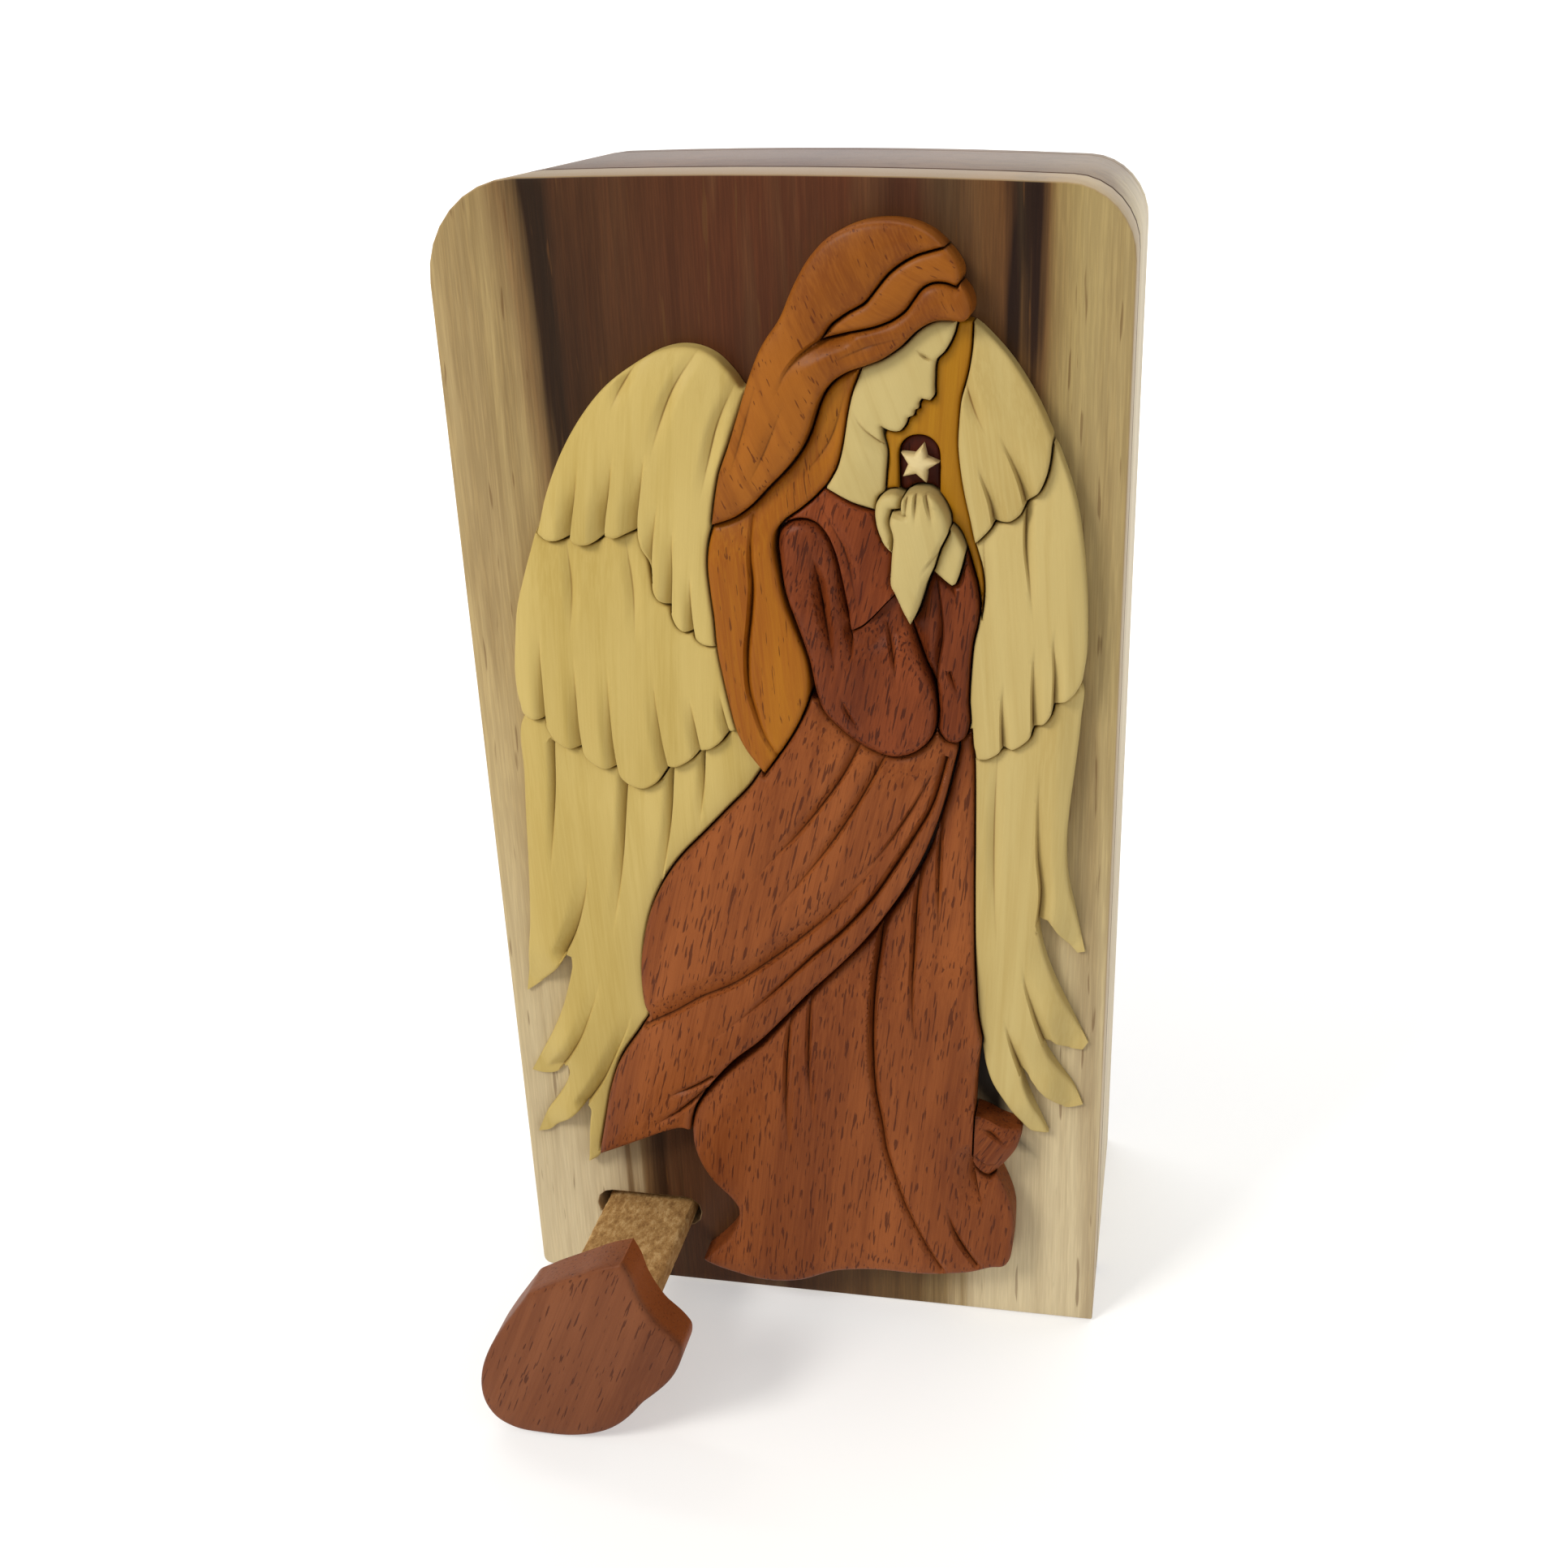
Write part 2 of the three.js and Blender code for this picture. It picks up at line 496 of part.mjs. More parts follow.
function skirts() {
  const upper = outline(
    [[4.9, 122.5], [3.2, 118.6], [1, 115], [-1, 112], [-3.5, 109.3], [-6, 105.7], [-9.5, 101.9],
      [-14, 97], [-18, 92.7], [-21, 88.5], [-23.6, 83.2], [-25.3, 77.5], [-26.3, 71.3],
      [-26.3, 65], [-25.8, 61.3]],
    [[-25.8, 61.3], [-28, 57.6], [-31.6, 52], [-33.9, 45.7], [-35.5, 39], [-37.3, 31]],
    TAIL_EDGE,
    [[-19.7, 38.4], [-19.4, 40.5], [-18.5, 43.6], [-16.3, 47.3], [-14.5, 49.8], [-11, 54],
      [-6, 58.6], [-1, 64.3], [3, 69], [8, 74.3], [13, 80.3], [17.6, 87], [20.5, 92],
      [22.7, 96.5], [25.2, 103.3], [26.6, 108.5], [28, 114.8]],
    [[28, 114.8], [27.6, 118]],
    [[27.6, 118], [14, 120], [6, 122], [4.9, 122.5]],
  );
  setPiece("skirt_upper", upper, 6.8, DRESS_WOOD());

  const lower = outline(
    [[27, 118], [30.1, 118.2]],
    [[30.1, 118.2], [30.5, 112], [30.6, 100], [30.6, 90.5], [30.7, 80], [31, 72], [31.4, 66],
      [32.2, 61.4]],
    [[32.2, 61.4], [31.8, 57.8], [31.4, 54.2], [31.2, 50.5], [31, 44], [30.9, 40], [30.9, 37.8]],
    [[30.9, 37.8], [31.8, 35.9], [32.8, 34.5], [34, 33.9]],
    [[34, 33.9], [35.1, 35.1]],
    [[35.1, 35.1], [35.8, 33.8], [36.9, 31.2], [37.8, 28.4], [38.2, 26], [38.2, 22], [38, 18.5],
      [37.5, 16.2], [36.5, 15], [34.5, 14.6], [30.5, 13], [27, 12.3], [22, 11.6], [14, 11.5],
      [9.5, 11], [6, 10.3], [3, 9], [0, 7.6], [-4, 6.7], [-9, 6.7], [-13, 7.6], [-16.5, 8.6],
      [-18.9, 9.7]],
    NOTCH_EDGE,
    [[-19.3, 39.7], [-18.4, 43], [-14, 49], [-6, 57]],
    [[-6, 57], [4, 69], [16, 83], [24, 98], [27, 118]],
  );
  setPiece("skirt_lower", lower, 6.4, DRESS_WOOD());

  const fold = outline(
    [[30.8, 47], [32.4, 46.5], [33.8, 45.9], [35.2, 45.1], [36.8, 44.5], [39, 44]],
    [[39, 44], [39.3, 43.5], [39.2, 42.6], [38.8, 41.3], [38.2, 39.7], [37.2, 38.1], [36.2, 36.7],
      [35.1, 35.2]],
    [[35.1, 35.2], [34.1, 33.6], [31.6, 34.3], [30, 38]],
    [[30, 38], [30.2, 43], [30.8, 47]],
  );
  setPiece("hem_fold", fold, 6, DRESS_WOOD());
}

function leftWing() {
  const upper = outline(
    [[-2, 170], [-4.4, 170.3], [-5.5, 171.8], [-8, 174.5], [-10.5, 175.8], [-13.5, 176.2],
      [-17, 175.4], [-21, 173.2], [-25, 170.2], [-29, 165.7], [-32.5, 160.3], [-35, 155],
      [-37.8, 147.3]],
    [[-37.8, 147.3], [-36.2, 146.2], [-34.3, 146.3], [-32.6, 147]],
    [[-32.6, 147], [-31.6, 146], [-30, 145.8], [-28.4, 146.4], [-26.8, 147.4]],
    [[-26.8, 147.4], [-25.2, 147.1], [-23.4, 147.8], [-21.5, 148.5]],
    [[-21.5, 148.5], [-20.9, 145.5], [-20.1, 143.5], [-19.7, 140.5], [-19.3, 138.2],
      [-18.4, 137.1], [-16.9, 136.4]],
    [[-16.9, 136.4], [-16.6, 134.5], [-15.9, 133.1], [-14.8, 132.4], [-13.6, 132.5]],
    [[-13.6, 132.5], [-13, 131.3], [-12, 130.5], [-10.6, 130.3], [-8.5, 130.5]],
    [[-8.5, 130.5], [-9, 140], [-8.6, 150], [-4, 163], [-2, 170]],
  );
  setPiece("wing_left_upper", upper, 5.8, CREAM_WOOD());

  const middle = outline(
    [[-35, 151], [-37.9, 148], [-39.5, 144], [-41, 139.5], [-42.4, 135], [-43.4, 129], [-44, 124],
      [-43.9, 120], [-43.3, 116.8]],
    [[-43.3, 116.8], [-42.2, 116], [-40.8, 115.8], [-39.5, 116.2]],
    [[-39.5, 116.2], [-39.1, 114.2], [-37.9, 112.3], [-36, 111.1], [-33.8, 111.3]],
    [[-33.8, 111.3], [-33, 109.6], [-31.6, 108.4], [-29.8, 107.8], [-28, 108.2]],
    [[-28, 108.2], [-27.4, 106.5], [-25.9, 105.2], [-23.8, 104.7], [-21.3, 106.1], [-19.4, 109]],
    [[-19.4, 109], [-18.1, 108.9], [-15.8, 110.1], [-13.8, 112]],
    [[-13.8, 112], [-12, 112.5], [-10.3, 113.8], [-8.8, 115.6]],
    [[-8.8, 115.6], [-6.5, 116.4]],
    [[-6.5, 116.4], [-7.6, 124], [-8.6, 131], [-12, 134], [-19, 143], [-22, 151], [-35, 151]],
  );
  setPiece("wing_left_middle", middle, 5, CREAM_WOOD());

  const lower = outline(
    [[-42, 118], [-44.6, 114], [-45, 105], [-45.5, 95], [-46.2, 85], [-47, 76], [-48.2, 69],
      [-49.4, 62]],
    [[-49.4, 62], [-47, 63.8], [-44.4, 66.3], [-42, 69], [-40.3, 71.7]],
    [[-40.3, 71.7], [-39.4, 71.3], [-39.4, 69.5], [-40.5, 65.5], [-42.3, 60.5], [-44.8, 55],
      [-47, 51], [-50.2, 45.2]],
    [[-50.2, 45.2], [-48, 44.8], [-45.5, 45.3], [-43.8, 47.2], [-42.4, 48.4]],
    [[-42.4, 48.4], [-42.1, 47.3], [-42.7, 45.3], [-44.5, 42], [-46.2, 39.4], [-48, 36.8],
      [-50.3, 31.8]],
    [[-50.3, 31.8], [-48.3, 32.3], [-45.5, 34.7], [-43, 36.9], [-41, 39], [-39.3, 41]],
    [[-39.3, 41], [-38.6, 39.8], [-38.9, 37.5], [-39.5, 33], [-40.6, 27]],
    [[-40.6, 27], [-38.6, 28.6], [-36.6, 31.6]],
    [[-36.6, 31.6], [-34.5, 39], [-31, 51], [-25, 61], [-25, 72], [-22, 84], [-15, 95], [-2, 108],
      [-4.5, 116]],
    [[-4.5, 116], [-12, 117], [-20, 112], [-30, 113], [-42, 118]],
  );
  setPiece("wing_left_lower", lower, 4, CREAM_WOOD());
}

function rightWing() {
  const upper = outline(
    [[28.6, 180.9], [29.9, 180.7], [32.6, 178.4], [35.5, 175.2], [38.4, 170.9], [40.3, 167.4],
      [41.6, 164.4]],
    [[41.6, 164.4], [41.4, 161.5], [40.9, 158.8], [39.9, 156.5], [38.1, 154.8]],
    [[38.1, 154.8], [37.3, 153.2], [36, 152.1], [34.8, 151.8], [33.5, 151.8]],
    [[33.5, 151.8], [32.6, 150.5], [31.2, 149], [29.6, 147.6]],
    [[29.6, 147.6], [27.4, 156], [26.6, 165], [27.6, 173], [28.6, 180.9]],
  );
  setPiece("wing_right_upper", upper, 5.8, PALE_WOOD());

  const middle = outline(
    [[37, 168], [41.5, 164.2], [43.2, 160.7], [44.8, 156.2], [45.9, 151.5], [46.7, 146],
      [47.2, 141], [47.5, 135.5], [47.5, 130.3], [47, 126.9]],
    [[47, 126.9], [46, 125], [44.6, 123.7], [42.8, 122.9]],
    [[42.8, 122.9], [42.4, 121.3], [41.4, 119.8], [39.8, 118.9]],
    [[39.8, 118.9], [39.2, 117.3], [37.8, 115.9], [36.5, 115.2], [35.1, 115.2]],
    [[35.1, 115.2], [34.2, 114.3], [32.6, 113.4], [31, 113.3]],
    [[31, 113.3], [30.5, 116], [29, 119]],
    [[29, 119], [28.8, 130], [30, 137], [30, 150], [37, 168]],
  );
  setPiece("wing_right_middle", middle, 5, PALE_WOOD());

  const lower = outline(
    [[44, 126], [46.9, 125.6], [46.9, 119.4], [46.4, 112.8], [45.7, 105.6], [45.3, 98.5],
      [45.7, 92.2], [46.9, 86.6], [48.8, 78]],
    [[48.8, 78], [47.6, 77.7], [46, 79.6], [44.2, 82.2], [42.7, 84.7], [41.2, 84.5]],
    [[41.2, 84.5], [41.3, 82.5], [42.3, 77.7], [44.3, 72.2], [47, 66.5], [49.9, 60.4]],
    [[49.9, 60.4], [49, 58.9], [47, 59.1], [45, 60.1], [43.6, 61.1], [42.4, 60.8]],
    [[42.4, 60.8], [43, 59], [45.1, 55.6], [47.7, 51.8], [49.4, 47.8]],
    [[49.4, 47.8], [46.4, 47], [44, 49.4], [41.7, 52.2], [39.9, 54.9], [38.8, 55.5]],
    [[38.8, 55.5], [39.2, 53], [40.5, 49.2], [42.3, 45], [43.7, 41.8]],
    [[43.7, 41.8], [40.8, 42.3], [38.8, 45], [36.3, 48.9], [34, 52.9], [32.8, 57], [32.4, 60]],
    [[32.4, 60], [30, 72], [29.8, 90], [29.5, 110], [31, 116], [44, 126]],
  );
  setPiece("wing_right_lower", lower, 4, PALE_WOOD());
}

// ---------------------------------------------------------------- key
function keyHead() {
  const back = LID_FACE - GLUE - RUNNING_GAP - KEY_OUT;
  const loop = outline(
    [[-37.4, 30], [-34, 32.1], [-29, 34.7], [-24.3, 37.1], [-20.9, 38.3]],
    [[-20.9, 38.3], [-19.7, 35.6], [-19, 32.7], [-17.6, 29.4], [-15.9, 26.7], [-13.8, 24.6],
      [-12.1, 22.1], [-12.1, 20.5], [-13.3, 17.2], [-14.9, 14.6], [-17.7, 11.5], [-19.2, 10],
      [-22, 6.4], [-25, 3.6], [-28.5, 1.7], [-33, 0.7], [-38, 0.6], [-42.4, 1.1], [-45.5, 2.8],
      [-47.2, 5.8], [-47.6, 9.5], [-46.9, 13.5], [-45.1, 18], [-42.6, 22.3], [-40, 26.2],
      [-37.4, 30]],
  );
  add("key_head", slab(loop, back - KEY_THICK, back), DRESS_WOOD());
}

function keyTongue() {
  const front = LID_FACE - RUNNING_GAP - KEY_OUT;
  const x0 = TONGUE.x - TONGUE.width / 2;
  const z0 = TONGUE.z - TONGUE.height / 2;
  const x1 = x0 + TONGUE.width;
  const z1 = z0 + TONGUE.height;
  const r = TONGUE.radius;
  const loop = roundedRect(x0, z0, x1, z1, [r, r, r, r]);
  add("key_tongue", slab(loop, front, front + TONGUE_LENGTH), RAW_WOOD());
}

caseBody();
backPanel();
liningFloor();
liningWall();
lidPanel();
pivotPeg();
pivotCap();
hands();
star();
sleeves();
hair();
faceNeck();
bodice();
hairFar();
starBed();
skirts();
leftWing();
rightWing();
keyHead();
keyTongue();

export default box;
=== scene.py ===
"""A standing wooden puzzle box with a relief of a praying angel, shown with its key piece pulled out.

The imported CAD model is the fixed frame. Each relief piece is carved here as a dense height field inside
the outline of its CAD node. Lengths in this script are millimetres in the frame's axes (x to the right,
z up, the relief faces -y), and heights are measured from the lid's face towards the viewer.
"""
import math

import bmesh
import bpy
import numpy as np
from mathutils import Matrix, Vector, noise
from mathutils.geometry import delaunay_2d_cdt
from mathutils.kdtree import KDTree


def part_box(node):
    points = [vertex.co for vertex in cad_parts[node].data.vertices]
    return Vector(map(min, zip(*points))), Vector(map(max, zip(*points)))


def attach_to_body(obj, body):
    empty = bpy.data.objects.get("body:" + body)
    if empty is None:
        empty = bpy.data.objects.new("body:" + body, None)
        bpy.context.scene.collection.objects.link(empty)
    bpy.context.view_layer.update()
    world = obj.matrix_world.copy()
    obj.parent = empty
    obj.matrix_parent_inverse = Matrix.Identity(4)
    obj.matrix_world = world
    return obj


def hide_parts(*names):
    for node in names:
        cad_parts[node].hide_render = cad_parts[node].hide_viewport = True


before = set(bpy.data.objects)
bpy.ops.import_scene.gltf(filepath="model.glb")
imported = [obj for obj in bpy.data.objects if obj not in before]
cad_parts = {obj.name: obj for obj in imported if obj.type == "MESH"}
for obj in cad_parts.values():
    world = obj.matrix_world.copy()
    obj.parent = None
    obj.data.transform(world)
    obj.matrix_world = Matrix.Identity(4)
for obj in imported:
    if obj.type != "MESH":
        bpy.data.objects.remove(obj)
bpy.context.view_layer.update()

MM = 0.001
LID_LOW, LID_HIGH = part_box("lid_panel")
FACE_Y = LID_LOW.y / MM
BOX_LOW, BOX_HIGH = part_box("case_body")
BOX_HEIGHT = BOX_HIGH.z / MM
BOX_HALF_WIDTH = BOX_HIGH.x / MM

GRID = 0.5            # spacing of the carved surface's points
EDGE_STEP = 0.45      # spacing of points along an outline
CLOSE = 0.11          # points nearer to each other than this are not both kept
CORNER = 48           # an outline that turns by more than this many degrees at a point has a corner there
SCORE = 0.22          # half width of the painted shade line at the bottom of a cut
LIP = 0.16            # depth of the painted shade line where two pieces meet
SEAM_REACH = 1.5      # how far the painted shade line between lid and case runs onto each of them
SPECULAR = 0.12       # every wood's specular level
RIM_ROWS = (0.16, 0.42, 0.8, 1.25)      # rows of points inside an outline, in radii of its rounding
ROW_KEPT = 0.93       # a rim row's point stays if it is this share of the row's depth from the outline
GRID_CLEAR = 0.55     # how far the grid stays from outlines and rows, in spacings
HEX_ROW = 0.866       # distance between a hexagonal grid's rows, in spacings
STEEP = (0.3, 0.75)   # a cut's wall with a width between these has a row of points along its top
TOUCHING = 0.45       # outlines closer than this meet in a full painted shade line
TOUCH_FADE = 0.35     # over this much more the line fades out
WALL_CURVE = 1.15     # how much a cut's wall is hollowed
WOBBLE = (0.16, 0.10)                   # hand-carved unevenness, in repeats per mm across and up
SIDE_ROWS = (0.8, 0.4)                  # rows of points down a piece's side, in shares of its height
RIM_SHADE_REACH = 0.9      # how far the painted shade at a piece's rim runs onto the surface
BOARD_GRID = 1.1      # spacing of the lid board's points
NEAR_REACH = 1.7      # how quickly the painted shade round the relief fades
GAP_WIDTH = 3.5       # the recess beside the hem is this far from both of its neighbours or nearer
SKIN = 0.5            # points this close behind the lid's face take the painted shade and the recess's dark tone
SMOOTH_BELOW = 32     # edges that turn by less than this many degrees are shaded smooth on eased solids
DEFAULTS = dict(crown=0.4, reach=2.2, wobble=0.10, floor=0.9, grid=GRID, line=0.6,
                cuts=(), slopes=(), falls=(), flush=())


# ------------------------------------------------------------------ outlines and lines

def smooth_run(points, step):
    """A centripetal Catmull-Rom run through points (n x 2), resampled about step apart."""
    points = np.asarray(points, float)
    if len(points) < 3:
        count = max(1, int(round(np.linalg.norm(points[1] - points[0]) / step)))
        return points[0] + (points[1] - points[0]) * np.linspace(0, 1, count + 1)[:, None]
    padded = np.vstack([2 * points[0] - points[1], points, 2 * points[-1] - points[-2]])
    out = [points[:1]]
    for i in range(1, len(padded) - 2):
        p0, p1, p2, p3 = padded[i - 1:i + 3]
        t0 = 0.0
        t1 = t0 + max(np.linalg.norm(p1 - p0), 1e-6) ** 0.5
        t2 = t1 + max(np.linalg.norm(p2 - p1), 1e-6) ** 0.5
        t3 = t2 + max(np.linalg.norm(p3 - p2), 1e-6) ** 0.5
        count = max(1, int(round(np.linalg.norm(p2 - p1) / step)))
        t = np.linspace(t1, t2, count + 1)[1:, None]
        a1 = (t1 - t) / (t1 - t0) * p0 + (t - t0) / (t1 - t0) * p1
        a2 = (t2 - t) / (t2 - t1) * p1 + (t - t1) / (t2 - t1) * p2
        a3 = (t3 - t) / (t3 - t2) * p2 + (t - t2) / (t3 - t2) * p3
        b1 = (t2 - t) / (t2 - t0) * a1 + (t - t0) / (t2 - t0) * a2
        b2 = (t3 - t) / (t3 - t1) * a2 + (t - t1) / (t3 - t1) * a3
        out.append((t2 - t) / (t2 - t1) * b1 + (t - t1) / (t2 - t1) * b2)
    return np.vstack(out)


def smooth_loop(loop, step=EDGE_STEP):
    """A closed outline through the same points, smooth except at its corners."""
    loop = np.asarray(loop, float)
    before = loop - np.roll(loop, 1, 0)
    after = np.roll(loop, -1, 0) - loop
    turn = np.degrees(np.abs(np.arctan2(
        before[:, 0] * after[:, 1] - before[:, 1] * after[:, 0],
        (before * after).sum(1))))
    corners = [int(i) for i in np.nonzero(turn > CORNER)[0]] or [0]
    out = []
    for k, start in enumerate(corners):
        end = corners[(k + 1) % len(corners)]
        span = (end - start) % len(loop) or len(loop)
        run = [loop[(start + i) % len(loop)] for i in range(span + 1)]
        out.append(smooth_run(run, step)[:-1])
    return np.vstack(out)


def cap_loops(node, back=True):
    """The outlines of a CAD node's flat back or front face, in mm, largest first, counter-clockwise."""
    mesh = node.data
    ys = [v.co.y for v in mesh.vertices]
    plane = max(ys) if back else min(ys)
    key = {v.index: (round(v.co.x / MM, 3), round(v.co.z / MM, 3)) for v in mesh.vertices}
    after = {}
    for polygon in mesh.polygons:
        if any(abs(mesh.vertices[i].co.y - plane) > 1e-5 for i in polygon.vertices):
            continue
        corners = [key[i] for i in polygon.vertices]
        for a, b in zip(corners, corners[1:] + corners[:1]):
            if after.get((b, a)):
                del after[(b, a)]
            else:
                after[(a, b)] = True
    step = {a: b for a, b in after}
    loops = []
    while step:
        start = next(iter(step))
        loop = [start]
        point = step.pop(start)
        while point != start and point in step:
            loop.append(point)
            point = step.pop(point)
        loops.append(np.array(loop))
    loops.sort(key=lambda points: -abs(area(points)))
    return [points if area(points) > 0 else points[::-1] for points in loops]


def area(loop):
    nxt = np.roll(loop, -1, 0)
    return 0.5 * float((loop[:, 0] * nxt[:, 1] - loop[:, 1] * nxt[:, 0]).sum())


def inside(points, loop):
    """Which points lie inside a closed outline."""
    result = np.zeros(len(points), bool)
    x, z = points[:, 0], points[:, 1]
    for a, b in zip(loop, np.roll(loop, -1, 0)):
        if a[1] == b[1]:
            continue
        crosses = (a[1] > z) != (b[1] > z)
        result ^= crosses & (x < (b[0] - a[0]) * (z - a[1]) / (b[1] - a[1]) + a[0])
    return result


def nearest(points, line, closed=False):
    """Distance to a polyline, the side (positive on its left), and how far along it (0 to 1)."""
    line = np.asarray(line, float)
    a = line if closed else line[:-1]
    b = np.roll(line, -1, 0) if closed else line[1:]
    along = b - a
    length = np.linalg.norm(along, axis=1)
    start = np.concatenate([[0], np.cumsum(length)[:-1]])
    best = np.full(len(points), 1e9)
    side = np.ones(len(points))
    place = np.zeros(len(points))
    for i in range(len(a)):
        rel = points - a[i]
        t = np.clip((rel @ along[i]) / max(length[i] ** 2, 1e-12), 0, 1)
        gap = rel - t[:, None] * along[i]
        distance = np.hypot(gap[:, 0], gap[:, 1])
        closer = distance < best
        best[closer] = distance[closer]
        cross = along[i][0] * rel[:, 1] - along[i][1] * rel[:, 0]
        side[closer] = np.sign(cross)[closer]
        place[closer] = ((start[i] + t * length[i]) / length.sum())[closer]
    return best, side, place


def smoothstep(t):
    t = np.clip(t, 0, 1)
    return t * t * (3 - 2 * t)


# ------------------------------------------------------------------ the carver's cuts

def crease(depth, left, right, *points, start=1.0, end=0.0, peak=0.0):
    """A V cut along a line. left and right are the widths of its two walls, seen along the line.

    Its depth is start at the first point, full at the fraction peak of its length, and end at the last.
    """
    return {"depth": depth, "left": left, "right": right, "points": points,
            "start": start, "end": end, "peak": peak}


def fall(x, z, reach, drop):
    """The surface drops by up to drop around a point, over reach."""
    return {"at": (x, z), "reach": reach, "drop": drop}


def slope(low, high, drop):
    """The surface drops by drop at the point low and by nothing at the point high, evenly between."""
    return {"low": low, "high": high, "drop": drop}


def flush(points, spec):
    """1 round the places where the piece is worked flush with its neighbour, 0 away from them."""
    share = np.zeros(len(points))
    for x, z, reach in spec["flush"]:
        away = np.linalg.norm(points - np.array((x, z)), axis=1)
        share = np.maximum(share, 1 - smoothstep((away / reach - 0.5) / 0.5))
    return share


def cut_strength(cut, place):
    rise = cut["start"] + (1 - cut["start"]) * smoothstep(place / max(cut["peak"], 1e-6))
    fade = cut["end"] + (1 - cut["end"]) * (1 - smoothstep((place - cut["peak"]) / (1 - cut["peak"])))
    return np.where(place < cut["peak"], rise, fade)


def carve(points, loop, height, spec):
    """Heights and groove shading of a piece's surface at points inside its outline."""
    rim, _, _ = nearest(points, loop, closed=True)
    t = np.clip(rim / spec["radius"], 0, 1)
    rounding = spec["drop"] * (1 - np.sqrt(1 - (1 - t) ** 2))
    rounding += spec["crown"] * np.exp(-rim / spec["reach"])
    surface = height - rounding * (1 - flush(points, spec))
    for tilt in spec["slopes"]:
        low, high = np.array(tilt["low"]), np.array(tilt["high"])
        axis = high - low
        amount = ((points - low) @ axis) / (axis @ axis)
        surface -= tilt["drop"] * (1 - smoothstep(amount))
    for dip in spec["falls"]:
        away = np.linalg.norm(points - np.array(dip["at"]), axis=1)
        surface -= dip["drop"] * (1 - smoothstep(away / dip["reach"]))
    shade = np.zeros(len(points))
    for cut in spec["cuts"]:
        line = smooth_run(cut["points"], 1.0)
        distance, side, place = nearest(points, line)
        width = np.where(side > 0, cut["left"], cut["right"])
        strength = cut_strength(cut, place)
        wall = np.clip(1 - distance / np.maximum(width, 0.05), 0, 1)
        surface -= cut["depth"] * strength * wall ** WALL_CURVE
        # painted shade: a dark line along the bottom of each cut
        shade = np.maximum(shade, strength * np.clip(1 - distance / SCORE, 0, 1) * min(1, cut["depth"]))
    wobble = np.array([noise.noise(Vector((x * WOBBLE[0], height, z * WOBBLE[1]))) for x, z in points])
    surface += spec["wobble"] * wobble
    return np.maximum(surface, spec["floor"]), shade, rim


def distance_to(points, others):
    """How far each point lies from the nearest of the others."""
    tree = KDTree(len(others))
    for i, (x, z) in enumerate(others):
        tree.insert((x, z, 0), i)
    tree.balance()
    return np.array([tree.find((x, z, 0))[2] for x, z in points])


def thinned(points):
    """The points without those that crowd an earlier one."""
    kept = []
    cells = {}
    for x, z in points:
        cell = (int(x // CLOSE), int(z // CLOSE))
        around = [cells.get((cell[0] + i, cell[1] + j), ()) for i in (-1, 0, 1) for j in (-1, 0, 1)]
        if all(math.hypot(x - a, z - b) > CLOSE for group in around for a, b in group):
            cells.setdefault(cell, []).append((x, z))
            kept.append((x, z))
    return np.array(kept).reshape(-1, 2)


def inner_points(loop, spec, spacing):
    """Points for the surface: rows inside the rim and along each cut, then a hexagonal grid between."""
    rows = []
    for share in RIM_ROWS:
        depth = share * spec["radius"]
        row = offset_line(np.vstack([loop[-1:], loop, loop[:1]]), depth)[1:-1]
        row = row[inside(row, loop)]
        rows.append(row[nearest(row, loop, closed=True)[0] > ROW_KEPT * depth])
    for cut in spec["cuts"]:
        line = smooth_run(cut["points"], 0.8 * spacing)
        for shift in cut_rows(cut):
            row = offset_line(line, shift)
            row = row[inside(row, loop)]
            rows.append(row[nearest(row, loop, closed=True)[0] > CLOSE])
    rows = thinned(np.vstack(rows[len(RIM_ROWS):] + rows[:len(RIM_ROWS)]))
    low, high = loop.min(0), loop.max(0)
    grid = []
    for i, z in enumerate(np.arange(low[1], high[1], spacing * HEX_ROW)):
        xs = np.arange(low[0] + (i % 2) * spacing / 2, high[0], spacing)
        grid.append(np.column_stack([xs, np.full(len(xs), z)]))
    grid = np.vstack(grid)
    grid = grid[inside(grid, loop)]
    grid = grid[nearest(grid, loop, closed=True)[0] > GRID_CLEAR * spacing]
    grid = grid[distance_to(grid, rows) > GRID_CLEAR * spacing]
    return np.vstack([grid, rows])


def cut_rows(cut):
    """Where rows of points run beside a cut: its bottom, its dark line's edges, a steep wall's top."""
    shifts = [0.0, SCORE, -SCORE]
    if STEEP[0] < cut["left"] < STEEP[1]:
        shifts.append(cut["left"])
    if STEEP[0] < cut["right"] < STEEP[1]:
        shifts.append(-cut["right"])
    return shifts


def offset_line(line, distance):
    """A polyline moved sideways, to its left where distance is positive."""
    along = np.gradient(line, axis=0)
    along /= np.maximum(np.linalg.norm(along, axis=1), 1e-9)[:, None]
    return line + distance * np.column_stack([-along[:, 1], along[:, 0]])


# ------------------------------------------------------------------ meshes

def mesh_object(name, vertices, faces, smooth_angle=38):
    mesh = bpy.data.meshes.new(name)
    mesh.from_pydata([tuple(v) for v in vertices], [], faces)
    mesh.validate()
    mesh.polygons.foreach_set("use_smooth", [True] * len(mesh.polygons))
    mesh.set_sharp_from_angle(angle=math.radians(smooth_angle))
    obj = bpy.data.objects.new(name, mesh)
    bpy.context.scene.collection.objects.link(obj)
    return obj


